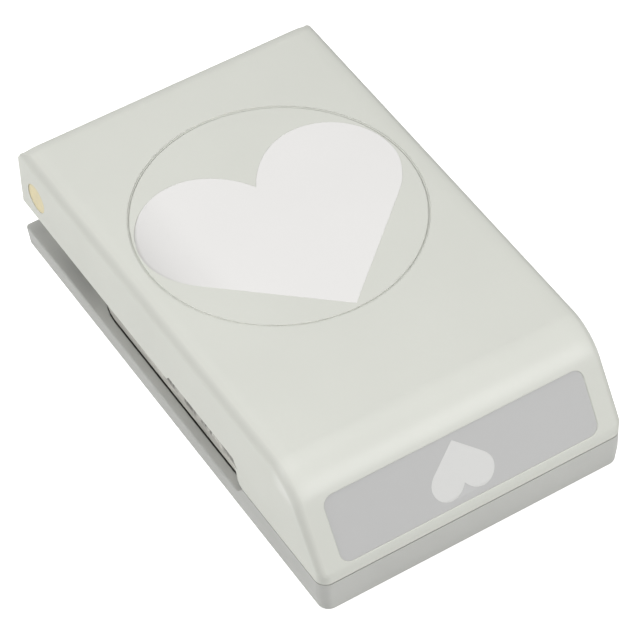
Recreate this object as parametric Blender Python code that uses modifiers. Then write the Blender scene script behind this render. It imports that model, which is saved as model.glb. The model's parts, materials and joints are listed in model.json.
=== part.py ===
"""Craft punch with a hinged lever, a sliding heart punch and a storage lock.

Metres, +Z up, +Y towards the hinge, the floor at z = 0 and the origin under the middle of the base.
The lever is drawn pressed down, as it is stored.
"""
import math

import bmesh
import bpy
from mathutils import Matrix, Vector
from mathutils.geometry import interpolate_bezier

# Overall sizes
WIDTH = 0.086
LENGTH = 0.143
HEIGHT = 0.0354

# Clearances
GAP = 0.0003            # between pieces that touch or slide on the real object
OVERRUN = 0.001         # how far a cutter runs past what it cuts
WELD = 0.000001         # points closer than this are one point
TURN_WELD = 0.00001     # the same on turned shapes

# Fineness of the round shapes
ARC_STEP = math.radians(9)
HOLE_STEPS = 16
ROUND_STEPS = 16
DISC_STEPS = 60
HEART_STEPS = 9
PANEL_HEART_STEPS = 6
EDGE_STEPS = 4
SHARP_ANGLE = math.radians(35)

# Base
BASE_DRAFT = 0.0006     # how far the side walls lean in at the floor
BASE_FRONT_R = 0.003
BASE_BACK_R = 0.0012
BASE_FOOT_ROUND = 0.0004
BASE_WALL = 0.0019
BASE_INNER_R = 0.0011           # corners inside the front well
POCKET_CORNER_R = 0.0019        # corners of the hollows under the base
DECK_THICKNESS = 0.0022
LEDGE_Z = 0.0065        # paper ledge and deck
RIM_Z = 0.0098          # raised rim under the lever's front third
RIM_LENGTH = 0.0355     # from the front to where the rim starts to fall
RIM_FALL = 0.0026
RIM_FALL_ROUND = 0.0012
SHELF_THICKNESS = 0.002
WINDOW_MARGIN = 0.0025  # from the cut heart to the window under the die

# Die set: die plate, spacers and guide plate share one outline
PLATE_SIDE_MARGIN = 0.0026      # from the base's widest edge to the plates' edge
PLATE_FRONT_MARGIN = 0.0133     # from the cut heart's tip to the plates' front edge
PLATE_BACK_MARGIN = 0.0074      # from its lobes to the plates' back edge
PLATE_FRONT_R = 0.003
PLATE_BACK_R = 0.016
DIE_THICKNESS = 0.002
SPACER_THICKNESS = 0.0006
GUIDE_THICKNESS = 0.0044
SPACER_STRIP = 0.006
SPACER_CORNER_R = 0.00135
SPACER_BACK_MARGIN = 0.0019     # from where the plates' back corners start to round
DIE_SCREW_SIDE_MARGIN = 0.0044  # front screws, from the plates' side edge
DIE_SCREW_BACK_X = 0.008

# Heart that the punch cuts, and the same figure on the lever
HEART_SIDE_MARGIN = 0.0079              # from the cut heart to the base's side
HEART_HEIGHT_SHARE = 0.8305             # of its width
HEART_TIP_MARGIN = 0.00135              # from the heart's tip to the edge of the lever's disc
HEART_FLANK_SHARES = (0.803, 0.439)     # end of the straight flank, of the half width and the height
HEART_SIDE_SHARES = (1.0, 0.678)
HEART_TOP_SHARES = (0.499, 1.0)
HEART_CLEFT_SHARES = (0.0, 0.794)
HEART_CLEFT_HANDLE_SHARES = (0.08, 0.091)
FLANK_HANDLE_SHARE = 0.6
LOBE_HANDLE_SHARE = 0.55
CLEFT_TOP_HANDLE_SHARE = 0.49

# Punch
PUNCH_REACH = 0.0016            # how far the cutter stands in the die when the lever is down
PUNCH_LIP = 0.005               # width of the cutting rim
PUNCH_HOLLOW = 0.007
HEAD_THICKNESS = 0.0028
HEAD_POST_MARGIN = 0.005        # from the posts' centres to the head's edges
HEAD_CORNER_R = 0.004
SPRING_ROOM_SHARE = 0.6767      # springs' room, of the height left between guide plate and lever
PUNCH_SCREW_SHARES = ((0.0, 0.2864), (-0.5128, 0.7925), (0.5128, 0.7925))
PUNCH_SCREW_DEPTH = 0.005

# Guide posts and return springs
POST_FRONT_INSET = 0.0061       # front posts, in from the heart's widest place
POST_FRONT_BACKSET = 0.0072     # and back from its tip
POST_BACK_INSET = 0.0026
POST_BACK_FORESET = 0.0006      # back posts, forward from the heart's lobes
POST_R = 0.002
POST_SHANK_R = 0.0015
POST_HEAD_R = 0.0034
POST_HEAD_HEIGHT = 0.0015
STROKE_MARGIN = 0.0003
SPRING_R = 0.0031
SPRING_WIRE_R = 0.0004
SPRING_PITCH = 0.001325
SPRING_POINTS_PER_TURN = 8

# Screws
SCREW_R = 0.00135
SCREW_HEAD_R = 0.0027
SCREW_HEAD_HEIGHT = 0.0013
SCREW_DRIVE_R = 0.0012
SCREW_DRIVE_DEPTH = 0.0007

# Lever
LID_WALL = 0.0022
LID_ROOF = 0.0024
LID_FRONT_WALL = 0.0036
LID_LIP = 0.0025                # upright foot of the sloping front
FRONT_SLOPE = math.radians(59)
BEND_R = 0.013
LID_EDGE_R = 0.0034             # long edges at the top's sides
LID_BACK_TOP_R = 0.0024
LID_FRONT_CORNER_R = 0.003
LID_BACK_CORNER_R = 0.0012
LID_LIP_ROUND = 0.001
LID_INNER_R = 0.0022            # inside corner between the top and the back wall
SIDE_BELOW_HINGE = 0.0075       # from the hinge down to the sides' lower edge, behind the foot
FOOT_LENGTH = 0.0368            # from the front to where the sides' edge starts to rise
FOOT_RISE = 0.0018
FOOT_ROUND = 0.0022

# Hinge
HINGE_FROM_BACK = 0.009
HINGE_BELOW_TOP = 0.0114
PIN_R = 0.0025
PIN_HEAD_R = 0.0038
PIN_HEAD_THICKNESS = 0.0019
PIN_SPIGOT_R = 0.0015
EAR_THICKNESS = 0.004
EAR_R = 0.0048
EAR_FOOT_HALF = 0.0075
EAR_NECK_HALF = 0.0036
EAR_NECK_DROP = 0.0115          # from the hinge down to where the ear's foot is cut away behind
LEVER_SWING = math.radians(6)

# Dish in the lever's top
DISH_Y = 0.01525
DISC_SIDE_MARGIN = 0.0062       # from the disc to the lever's side
DISC_GROOVE = 0.0005
DISC_THICKNESS = 0.0026
DISC_SINK = 0.0001
DISH_DEPTH = 0.0008
DISH_SLOPE_WIDTH = 0.0128
DISH_RINGS = 5
INLAY_THICKNESS = 0.0006
DISC_BOSS_MARGIN = 0.0026
DISC_BOSS_FLOOR = 0.0016

# Panel in the lever's front
PANEL_SIDE_MARGIN = 0.0066
PANEL_LOW = 0.0012              # up the slope from the lip to the panel
PANEL_TOP_MARGIN = 0.00044      # from the panel up to where the lever's bend starts
PANEL_CORNER_R = 0.0028
PANEL_SINK = 0.0009
PANEL_THICKNESS = 0.0013
PANEL_HEART_WIDTH_SHARE = 1.2254        # of its height
PANEL_HEART_HEIGHT_SHARE = 0.8068       # of the panel's height
PANEL_HEART_TOP_SHARE = 0.125           # from its tip to the panel's upper edge
PANEL_HEART_THICKNESS = 0.0006

# Rod that presses on the punch head
ROD_FORESET = 0.00325           # forward from the dish's centre
ROD_R = 0.003
ROD_END = 0.008                 # how far the rod stands out past its ribs' centres
ROD_CHAMFER = 0.0005
RIB_X = 0.022
RIB_THICKNESS = 0.003
RIB_HALF_LENGTH = 0.0065
RIB_GRIP = 0.0012               # how far the ribs reach below the rod's centre

# Storage lock
LOCK_FROM_FRONT = 0.018
LOCK_TRAVEL = 0.0032
STEM_HALF = 0.0025
SLOT_CORNER_R = 0.0003
BUTTON_HALF_X = 0.012
BUTTON_LENGTH_SHARE = 0.4094    # of the hollow under the base that holds it
BUTTON_THICKNESS = 0.0017
BUTTON_CORNER_R = 0.0028
BUTTON_RIB_HEIGHT = 0.0011
BUTTON_RIB_HALF = 0.0006
BUTTON_RIB_PITCH_SHARE = 0.2857         # of the button's length
STEM_RISE = 0.0016              # above the deck
HOOK_HALF_X = 0.006
HOOK_FOOT_BACK = 0.0045
HOOK_ROOF = 0.0018
HOOK_UPRIGHT = 0.0028
NOSE_THICKNESS = 0.001
CATCH_HALF_X = 0.007
CATCH_Z = 0.0104
CATCH_THICKNESS = 0.0015
CATCH_FROM_FRONT = 0.008        # to the back of the catch
LOCK_SCREW_R = 0.0011
LOCK_SCREW_HEAD_R = 0.0022
LOCK_SCREW_DEPTH = 0.003

# Places worked out from the sizes above
FRONT_Y = -LENGTH / 2
BACK_Y = LENGTH / 2
HALF_WIDTH = WIDTH / 2
PLATE_HALF_X = HALF_WIDTH - PLATE_SIDE_MARGIN
DECK_UNDERSIDE_Z = LEDGE_Z - DECK_THICKNESS
DIE_TOP_Z = LEDGE_Z - GAP
DIE_Z = DIE_TOP_Z - DIE_THICKNESS
SHELF_Z = DIE_Z - GAP
SPACER_Z = DIE_TOP_Z + GAP
GUIDE_Z = SPACER_Z + SPACER_THICKNESS + GAP
GUIDE_TOP_Z = GUIDE_Z + GUIDE_THICKNESS
LID_FOOT_Z = RIM_Z + GAP
LIP_TOP_Z = LID_FOOT_Z + LID_LIP
INNER_HALF_X = HALF_WIDTH - LID_WALL
ROOF_Z = HEIGHT - LID_ROOF
HINGE_Y = BACK_Y - HINGE_FROM_BACK
HINGE_Z = HEIGHT - HINGE_BELOW_TOP
SIDE_EDGE_Z = HINGE_Z - SIDE_BELOW_HINGE
DISC_R = HALF_WIDTH - DISC_SIDE_MARGIN
DISC_FLOOR_Z = HEIGHT - DISC_SINK - DISC_THICKNESS
BOSS_FLOOR_Z = DISC_FLOOR_Z - GAP - DISC_BOSS_FLOOR
SPARE_HEIGHT = BOSS_FLOOR_Z - GUIDE_TOP_Z - HEAD_THICKNESS - GAP - 2 * ROD_R
HEAD_Z = GUIDE_TOP_Z + SPRING_ROOM_SHARE * SPARE_HEIGHT         # underside of the punch head
HEAD_TOP_Z = HEAD_Z + HEAD_THICKNESS
HEART_WIDTH = WIDTH - 2 * HEART_SIDE_MARGIN
HEART_HEIGHT = HEART_WIDTH * HEART_HEIGHT_SHARE
HEART_TIP_Y = DISH_Y - DISC_R + HEART_TIP_MARGIN
HEART_TOP_Y = HEART_TIP_Y + HEART_HEIGHT
PLATE_FRONT_Y = HEART_TIP_Y - PLATE_FRONT_MARGIN
PLATE_BACK_Y = HEART_TOP_Y + PLATE_BACK_MARGIN
POST_FRONT_X = HEART_WIDTH / 2 - POST_FRONT_INSET
POST_FRONT_Y = HEART_TIP_Y + POST_FRONT_BACKSET
POST_BACK_X = HEART_WIDTH / 2 - POST_BACK_INSET
POST_BACK_Y = HEART_TOP_Y - POST_BACK_FORESET
ROD_Y = DISH_Y - ROD_FORESET
ROD_HALF = RIB_X + ROD_END
ROD_Z = HEAD_TOP_Z + GAP + ROD_R
STROKE = (HINGE_Y - ROD_Y) * math.sin(LEVER_SWING)
SLOPE_FLAT = (HEIGHT - LIP_TOP_Z) / math.sin(FRONT_SLOPE) - BEND_R * math.tan(FRONT_SLOPE / 2)
PANEL_HALF_X = HALF_WIDTH - PANEL_SIDE_MARGIN
PANEL_RISE = SLOPE_FLAT - PANEL_LOW - PANEL_TOP_MARGIN
PANEL_HEART_HEIGHT = PANEL_RISE * PANEL_HEART_HEIGHT_SHARE
PANEL_HEART_WIDTH = PANEL_HEART_HEIGHT * PANEL_HEART_WIDTH_SHARE
HOLLOW_FRONT_Y = FRONT_Y + BASE_WALL
HOLLOW_BACK_Y = PLATE_FRONT_Y - BASE_WALL
BUTTON_LENGTH = (HOLLOW_BACK_Y - HOLLOW_FRONT_Y) * BUTTON_LENGTH_SHARE
BUTTON_RIB_PITCH = BUTTON_LENGTH * BUTTON_RIB_PITCH_SHARE
LOCK_Y = FRONT_Y + LOCK_FROM_FRONT
CATCH_BACK_Y = FRONT_Y + CATCH_FROM_FRONT
UPRIGHT_AXES = ((1, 0, 0), (0, 1, 0), (0, 0, 1))
DOWN_AXES = ((1, 0, 0), (0, -1, 0), (0, 0, -1))
ACROSS_AXES = ((0, 1, 0), (0, 0, 1), (1, 0, 0))         # outline in the Y-Z plane, depth along +X
ACROSS_LEFT_AXES = ((0, 1, 0), (0, 0, -1), (-1, 0, 0))  # the same with depth along -X
SLOPE_AXES = ((1, 0, 0), (0, math.cos(FRONT_SLOPE), math.sin(FRONT_SLOPE)),
              (0, -math.sin(FRONT_SLOPE), math.cos(FRONT_SLOPE)))


def clear_scene():
    for old in list(bpy.data.objects):
        bpy.data.objects.remove(old, do_unlink=True)


clear_scene()
PARTS = bpy.data.collections.new("craft_punch")
CUTTERS = bpy.data.collections.new("cutters")
for group in (PARTS, CUTTERS):
    bpy.context.scene.collection.children.link(group)


# Materials

def material(name, colour, roughness, metallic=0.0):
    made = bpy.data.materials.new(name)
    made.use_nodes = True
    shader = made.node_tree.nodes["Principled BSDF"]
    shader.inputs["Base Color"].default_value = (*colour, 1.0)
    shader.inputs["Roughness"].default_value = roughness
    shader.inputs["Metallic"].default_value = metallic
    return made


BASE_GREY = material("base_grey", (0.44, 0.44, 0.42), 0.5)
LEVER_STONE = material("lever_stone", (0.68, 0.68, 0.64), 0.4)
INLAY_WHITE = material("inlay_white", (0.83, 0.83, 0.81), 0.3)
PANEL_GREY = material("panel_grey", (0.53, 0.53, 0.52), 0.5)
PANEL_HEART_PALE = material("panel_heart_pale", (0.72, 0.72, 0.7), 0.5)
STEEL = material("steel", (0.6, 0.6, 0.6), 0.3, 1.0)
CAST_METAL = material("cast_metal", (0.58, 0.56, 0.48), 0.55, 1.0)
PIN_BRASS = material("pin_brass", (0.72, 0.62, 0.36), 0.35, 1.0)
LOCK_GREY = material("lock_grey", (0.3, 0.3, 0.29), 0.5)


# Outlines, in the plane of the piece

def arc_points(centre, radius, start, sweep, steps):
    return [(centre[0] + radius * math.cos(start + sweep * i / steps),
             centre[1] + radius * math.sin(start + sweep * i / steps)) for i in range(steps + 1)]


def circle(centre, radius, steps=HOLE_STEPS):
    return arc_points(centre, radius, 0, 2 * math.pi, steps)[:-1]


def rounded(corners):
    """The outline through (u, v, radius) corners, each with a radius drawn as an arc."""
    points = []
    count = len(corners)
    for index, (u, v, radius) in enumerate(corners):
        corner = Vector((u, v))
        if radius == 0:
            points.append((u, v))
            continue
        before = (Vector(corners[index - 1][:2]) - corner).normalized()
        after = (Vector(corners[(index + 1) % count][:2]) - corner).normalized()
        half_angle = before.angle(after) / 2
        centre = corner + (before + after).normalized() * (radius / math.sin(half_angle))
        first = corner + before * (radius / math.tan(half_angle)) - centre
        last = corner + after * (radius / math.tan(half_angle)) - centre
        start = math.atan2(first.y, first.x)
        sweep = math.remainder(math.atan2(last.y, last.x) - start, 2 * math.pi)
        steps = max(2, round(abs(sweep) / ARC_STEP))
        points += arc_points(centre, radius, start, sweep, steps)
    return points


def rectangle(half_x, low_y, high_y, front_r, back_r):
    return rounded([(-half_x, low_y, front_r), (half_x, low_y, front_r),
                    (half_x, high_y, back_r), (-half_x, high_y, back_r)])


def heart(width, height, tip, steps=HEART_STEPS, grow=0.0, point_up=False):
    """A heart with its point at tip, grown outwards by a distance."""
    half = width / 2

    def place(shares):
        return Vector((shares[0] * half, shares[1] * height, 0))

    flank, side, top, cleft = (place(s) for s in (HEART_FLANK_SHARES, HEART_SIDE_SHARES,
                                                  HEART_TOP_SHARES, HEART_CLEFT_SHARES))
    slope = flank.y / flank.x
    elbow = Vector((side.x, side.x * slope, 0))
    shoulder = Vector((side.x, top.y, 0))
    middle = Vector((0, top.y, 0))
    right = [Vector((0, 0, 0)), flank]
    right += interpolate_bezier(flank, flank.lerp(elbow, FLANK_HANDLE_SHARE),
                                side.lerp(elbow, FLANK_HANDLE_SHARE), side, steps)[1:]
    right += interpolate_bezier(side, side.lerp(shoulder, LOBE_HANDLE_SHARE),
                                top.lerp(shoulder, LOBE_HANDLE_SHARE), top, steps)[1:]
    right += interpolate_bezier(top, top.lerp(middle, CLEFT_TOP_HANDLE_SHARE),
                                cleft + place(HEART_CLEFT_HANDLE_SHARES), cleft, steps)[1:]
    half_outline = grown_half([(p.x, p.y) for p in right], grow)
    points = half_outline + mirror_back(half_outline)
    turn = -1 if point_up else 1
    return [(tip[0] + turn * x, tip[1] + turn * y) for x, y in points]


def mirror_back(half_outline):
    """The left half of an outline whose right half starts and ends on the mirror line."""
    return [(-x, y) for x, y in reversed(half_outline[1:-1])]


def grown_half(half_outline, distance):
    """Grows the right half of a mirrored outline and ends it where it meets the mirror line again."""
    moved = grown(half_outline + mirror_back(half_outline), distance)[:len(half_outline)]
    kept = moved[:1] + [point for point in moved[1:-1] if point[0] > WELD]
    if len(kept) == len(moved) - 1:
        return kept + moved[-1:]
    last, crossed = kept[-1], moved[len(kept)]
    share = last[0] / (last[0] - crossed[0])
    return kept + [(0, last[1] + share * (crossed[1] - last[1]))]


def grown(points, distance):
    """Moves every side of a counter-clockwise outline outwards by a distance."""
    if distance == 0:
        return points
    count = len(points)
    moved = []
    for index, point in enumerate(points):
        here = Vector(point)
        into = (here - Vector(points[index - 1])).normalized()
        out = (Vector(points[(index + 1) % count]) - here).normalized()
        normals = Vector((into.y, -into.x)), Vector((out.y, -out.x))
        middle = (normals[0] + normals[1]).normalized()
        moved.append(tuple(here + middle * (distance / middle.dot(normals[0]))))
    return moved


# Making objects

def mesh_object(name, mesh, frame, collection):
    made = bpy.data.objects.new(name, mesh)
    made.matrix_world = frame
    collection.objects.link(made)
    return made


def frame_at(origin=(0, 0, 0), axes=UPRIGHT_AXES):
    """A placing whose local axes lie along the three given directions."""
    return Matrix.Translation(origin) @ Matrix(axes).transposed().to_4x4()


def prism(name, outlines, low, high, frame, collection, smooth=True):
    """A flat outline, with holes if there are several, given depth from low to high."""
    curve = bpy.data.curves.new(name, "CURVE")
    curve.dimensions = "2D"
    curve.fill_mode = "BOTH"
    curve.extrude = (high - low) / 2
    for outline in outlines:
        spline = curve.splines.new("POLY")
        spline.points.add(len(outline) - 1)
        for point, place in zip(spline.points, outline):
            point.co = (*place, 0, 1)
        spline.use_cyclic_u = True
    middle = frame @ Matrix.Translation((0, 0, (low + high) / 2))
    return made_mesh(mesh_object(name, curve, middle, collection), smooth, len(outlines) == 1)


def made_mesh(source, smooth=True, whole_caps=False):
    """Replaces a curve object by a closed mesh object."""
    name, frame = source.name, source.matrix_world.copy()
    collection = source.users_collection[0]
    bpy.context.view_layer.update()
    seen = source.evaluated_get(bpy.context.evaluated_depsgraph_get())
    mesh = bpy.data.meshes.new_from_object(seen)
    bpy.data.objects.remove(source, do_unlink=True)
    work = bmesh.new()
    work.from_mesh(mesh)
    bmesh.ops.remove_doubles(work, verts=work.verts, dist=WELD)
    if whole_caps:
        bmesh.ops.dissolve_limit(work, angle_limit=math.radians(1), verts=work.verts, edges=work.edges)
    bmesh.ops.recalc_face_normals(work, faces=work.faces)
    work.to_mesh(mesh)
    work.free()
    made = mesh_object(name, mesh, frame, collection)
    if smooth:
        shade(made)
    return made


def shade(made):
    made.data.shade_smooth()
    made.data.set_sharp_from_angle(angle=SHARP_ANGLE)


def turned(name, profile, frame, collection, steps=ROUND_STEPS):
    """A turned shape: (radius, height) points from the top of the axis down the outside."""
    mesh = bpy.data.meshes.new(name)
    mesh.from_pydata([(radius, 0, height) for radius, height in profile],
                     [(i, i + 1) for i in range(len(profile) - 1)], [])
    made = mesh_object(name, mesh, frame, collection)
    screw = made.modifiers.new("turn", "SCREW")
    screw.steps = screw.render_steps = steps
    screw.use_merge_vertices = True
    screw.merge_threshold = TURN_WELD
    screw.use_smooth_shade = True
    return made


def box(name, low, high, collection):
    bpy.ops.mesh.primitive_cube_add(size=1)
    made = bpy.context.object
    made.name = name
    size = Vector(high) - Vector(low)
    made.data.transform(Matrix.Diagonal((*size, 1)))
    made.location = (Vector(low) + Vector(high)) / 2
    move_to(made, collection)
    return made


def rod(name, centre, radius, depth, axes, collection, steps=HOLE_STEPS):
    bpy.ops.mesh.primitive_cylinder_add(vertices=steps, radius=radius, depth=depth)
    made = bpy.context.object
    made.name = name
    made.matrix_world = frame_at(centre, axes)
    move_to(made, collection)
    shade(made)
    return made


def move_to(made, collection):
    for old in list(made.users_collection):
        old.objects.unlink(made)
    collection.objects.link(made)


def boolean(target, tool, operation):
    tool.hide_render = True
    tool.display_type = "WIRE"
    step = target.modifiers.new(operation.lower() + "_" + tool.name, "BOOLEAN")
    step.operation = operation
    step.solver = "EXACT"
    step.object = tool


def cut(target, *tools):
    for tool in tools:
        boolean(target, tool, "DIFFERENCE")


def join(target, *tools):
    for tool in tools:
        boolean(target, tool, "UNION")


def edit(made):
    work = bmesh.new()
    work.from_mesh(made.data)
    return work


def store(work, made):
    bmesh.ops.recalc_face_normals(work, faces=work.faces)
    work.to_mesh(made.data)
    work.free()


def dress(made, look, carrier=None):
    """Gives a finished piece its material and the empty that carries it."""
    made.data.materials.clear()
    made.data.materials.append(look)
    if carrier:
        bpy.context.view_layer.update()
        made.parent = carrier
        made.matrix_parent_inverse = carrier.matrix_world.inverted()
    return made


def carrier_at(name, place):
    empty = bpy.data.objects.new(name, None)
    empty.location = place
    PARTS.objects.link(empty)
    bpy.context.view_layer.update()
    return empty


LEVER_PIVOT = carrier_at("lever_pivot", (0, HINGE_Y, HINGE_Z))
PUNCH_GUIDE = carrier_at("punch_guide", (0, ROD_Y, HEAD_Z))
LOCK_GUIDE = carrier_at("lock_guide", (0, LOCK_Y, LEDGE_Z))


# Outlines that several pieces share

def plate_outline(grow=0.0):
    return rectangle(PLATE_HALF_X + grow, PLATE_FRONT_Y - grow, PLATE_BACK_Y + grow,
                     PLATE_FRONT_R + grow, PLATE_BACK_R + grow)


def cut_heart(grow=0.0):
    return heart(HEART_WIDTH, HEART_HEIGHT, (0, HEART_TIP_Y), grow=grow)


def mirrored(places):
    return [(side * x, y) for x, y in places for side in (-1, 1)]


SPACER_FRONT_MID_Y = PLATE_FRONT_Y + GAP + SPACER_STRIP / 2
SPACER_BACK_MID_Y = PLATE_BACK_Y - GAP - SPACER_STRIP / 2
DIE_SCREW_PLACES = mirrored([(PLATE_HALF_X - DIE_SCREW_SIDE_MARGIN, SPACER_FRONT_MID_Y),
                             (DIE_SCREW_BACK_X, SPACER_BACK_MID_Y)])
POST_PLACES = mirrored([(POST_FRONT_X, POST_FRONT_Y), (POST_BACK_X, POST_BACK_Y)])
PUNCH_SCREW_PLACES = [(u * HEART_WIDTH / 2, HEART_TIP_Y + v * HEART_HEIGHT) for u, v in PUNCH_SCREW_SHARES]


# Base

def ledge_cutter():
    """What lies over the paper ledge, with the falling end of the rim as its front."""
    fall_start = FRONT_Y + RIM_LENGTH
    over = RIM_Z + OVERRUN
    behind = BACK_Y + OVERRUN
    side = rounded([(fall_start - OVERRUN, over, 0), (fall_start - OVERRUN, RIM_Z, 0),
                    (fall_start, RIM_Z, RIM_FALL_ROUND), (fall_start + RIM_FALL, LEDGE_Z, RIM_FALL_ROUND),
                    (behind, LEDGE_Z, 0), (behind, over, 0)])
    return prism("over_ledge", [side], -WIDTH, WIDTH, frame_at(axes=ACROSS_AXES), CUTTERS)


def shape_base_walls(base):
    """Leans the side walls in towards the floor and rounds the foot."""
    work = edit(base)
    for vert in work.verts:
        lean = BASE_DRAFT * (1 - vert.co.z / RIM_Z)
        vert.co.x *= 1 - lean / HALF_WIDTH
    foot = [e for e in work.edges if all(v.co.z < WELD for v in e.verts)]
    bmesh.ops.bevel(work, geom=foot, offset=BASE_FOOT_ROUND, segments=2, profile=0.5, affect="EDGES")
    store(work, base)


def ear(side):
    """One hinge ear, in the plane of the hinge's side view."""
    base_z = DECK_UNDERSIDE_Z + GAP
    outline = [(HINGE_Y - EAR_FOOT_HALF, base_z), (HINGE_Y + EAR_NECK_HALF, base_z)]
    outline += [(HINGE_Y + EAR_NECK_HALF, HINGE_Z - EAR_NECK_DROP)]
    start = -math.acos(EAR_NECK_HALF / EAR_R)
    sweep = math.pi - 2 * start
    outline += arc_points((HINGE_Y, HINGE_Z), EAR_R, start, sweep, HOLE_STEPS)
    outer = INNER_HALF_X - GAP
    low, high = sorted((side * outer, side * (outer - EAR_THICKNESS)))
    return prism("ear_tool", [outline], low, high, frame_at(axes=ACROSS_AXES), CUTTERS)


def underside_pocket(name, low_y, high_y, top_z):
    half_x = HALF_WIDTH - BASE_DRAFT - BASE_WALL
    outline = rectangle(half_x, low_y, high_y, POCKET_CORNER_R, POCKET_CORNER_R)
    return prism(name, [outline], -OVERRUN, top_z, frame_at(), CUTTERS)


def make_base():
    outline = rectangle(HALF_WIDTH, FRONT_Y, BACK_Y, BASE_FRONT_R, BASE_BACK_R)
    base = prism("base_tray", [outline], 0, RIM_Z, frame_at(), PARTS)
    shape_base_walls(base)
    cut(base, ledge_cutter())
    for side in (-1, 1):
        join(base, ear(side))
    inner_x = HALF_WIDTH - BASE_WALL
    inner_back = BACK_Y - BASE_WALL
    front_well = rectangle(inner_x, HOLLOW_FRONT_Y, PLATE_FRONT_Y, BASE_INNER_R, BASE_INNER_R)
    cut(base, prism("front_well", [front_well], LEDGE_Z, RIM_Z + OVERRUN, frame_at(), CUTTERS))
    cut(base, prism("die_seat", [plate_outline(GAP)], SHELF_Z, RIM_Z + OVERRUN, frame_at(), CUTTERS))
    divide_back = PLATE_BACK_Y + BASE_WALL
    cut(base, underside_pocket("pocket_front", HOLLOW_FRONT_Y, HOLLOW_BACK_Y, DECK_UNDERSIDE_Z))
    cut(base, underside_pocket("pocket_middle", PLATE_FRONT_Y, PLATE_BACK_Y, SHELF_Z - SHELF_THICKNESS))
    cut(base, underside_pocket("pocket_back", divide_back, inner_back, DECK_UNDERSIDE_Z))
    cut(base, prism("window", [cut_heart(WINDOW_MARGIN)], -OVERRUN, LEDGE_Z, frame_at(), CUTTERS))
    for x, y in DIE_SCREW_PLACES:
        cut(base, rod("die_screw_hole", (x, y, SHELF_Z), SCREW_R + GAP, LEDGE_Z, UPRIGHT_AXES, CUTTERS))
    slot_half = STEM_HALF + GAP
    slot = rectangle(slot_half, LOCK_Y - slot_half - LOCK_TRAVEL, LOCK_Y + slot_half,
                     SLOT_CORNER_R, SLOT_CORNER_R)
    cut(base, prism("lock_slot", [slot], 0, RIM_Z, frame_at(), CUTTERS))
    cut(base, rod("ear_bore", (0, HINGE_Y, HINGE_Z), PIN_R + GAP, WIDTH, ACROSS_AXES, CUTTERS))
    dress(base, BASE_GREY)


# Die set

def make_die_set():
    screw_holes = [circle(place, SCREW_R + GAP) for place in DIE_SCREW_PLACES]
    post_holes = [circle(place, POST_SHANK_R + GAP) for place in POST_PLACES]
    hole = cut_heart(GAP)
    die = prism("die_plate", [plate_outline(), hole] + screw_holes, DIE_Z, DIE_TOP_Z, frame_at(), PARTS)
    dress(die, STEEL)
    guide = prism("guide_plate", [plate_outline(), hole] + screw_holes + post_holes,
                  GUIDE_Z, GUIDE_TOP_Z, frame_at(), PARTS)
    dress(guide, CAST_METAL)
    spacer_back_half = PLATE_HALF_X - PLATE_BACK_R - SPACER_BACK_MARGIN
    strips = {"slot_spacer_front": (PLATE_HALF_X - GAP, SPACER_FRONT_MID_Y, screw_holes[:2]),
              "slot_spacer_back": (spacer_back_half, SPACER_BACK_MID_Y, screw_holes[2:])}
    for name, (half_x, mid_y, holes) in strips.items():
        outline = rectangle(half_x, mid_y - SPACER_STRIP / 2, mid_y + SPACER_STRIP / 2,
                            SPACER_CORNER_R, SPACER_CORNER_R)
        strip = prism(name, [outline] + holes, SPACER_Z, SPACER_Z + SPACER_THICKNESS, frame_at(), PARTS)
        dress(strip, STEEL)


def screw_profile(head_top, head_r, head_height, shank_r, shank_end):
    """Profile of a screw with its head up and a round drive recess."""
    return [(0, head_top - SCREW_DRIVE_DEPTH), (SCREW_DRIVE_R, head_top - SCREW_DRIVE_DEPTH),
            (SCREW_DRIVE_R, head_top), (head_r, head_top), (head_r, head_top - head_height),
            (shank_r, head_top - head_height), (shank_r, shank_end), (0, shank_end)]


def make_die_screws():
    """Screws that come up from under the shelf; their profile is drawn from the floor up."""
    head_z = SHELF_Z - SHELF_THICKNESS - GAP
    reach = GUIDE_TOP_Z - GAP
    length = reach - head_z + SCREW_HEAD_HEIGHT
    profile = screw_profile(0, SCREW_HEAD_R, SCREW_HEAD_HEIGHT, SCREW_R, -length)
    for index, (x, y) in enumerate(DIE_SCREW_PLACES, 1):
        place = frame_at((x, y, head_z - SCREW_HEAD_HEIGHT), DOWN_AXES)
        dress(turned(f"die_screw_{index}", profile, place, PARTS), STEEL)


def make_posts_and_springs():
    shoulder = GUIDE_TOP_Z + GAP
    stop = HEAD_TOP_Z + STROKE + STROKE_MARGIN
    profile = [(0, stop + POST_HEAD_HEIGHT), (POST_HEAD_R, stop + POST_HEAD_HEIGHT), (POST_HEAD_R, stop),
               (POST_R, stop), (POST_R, shoulder), (POST_SHANK_R, shoulder), (POST_SHANK_R, GUIDE_Z + GAP),
               (0, GUIDE_Z + GAP)]
    for index, (x, y) in enumerate(POST_PLACES, 1):
        dress(turned(f"guide_post_{index}", profile, frame_at((x, y, 0)), PARTS), STEEL)
        dress(spring(f"return_spring_{index}", (x, y, 0)), STEEL)


def spring_turns():
    return max(1, round((HEAD_Z - GUIDE_TOP_Z - 2 * GAP - 2 * SPRING_WIRE_R) / SPRING_PITCH))


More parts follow.
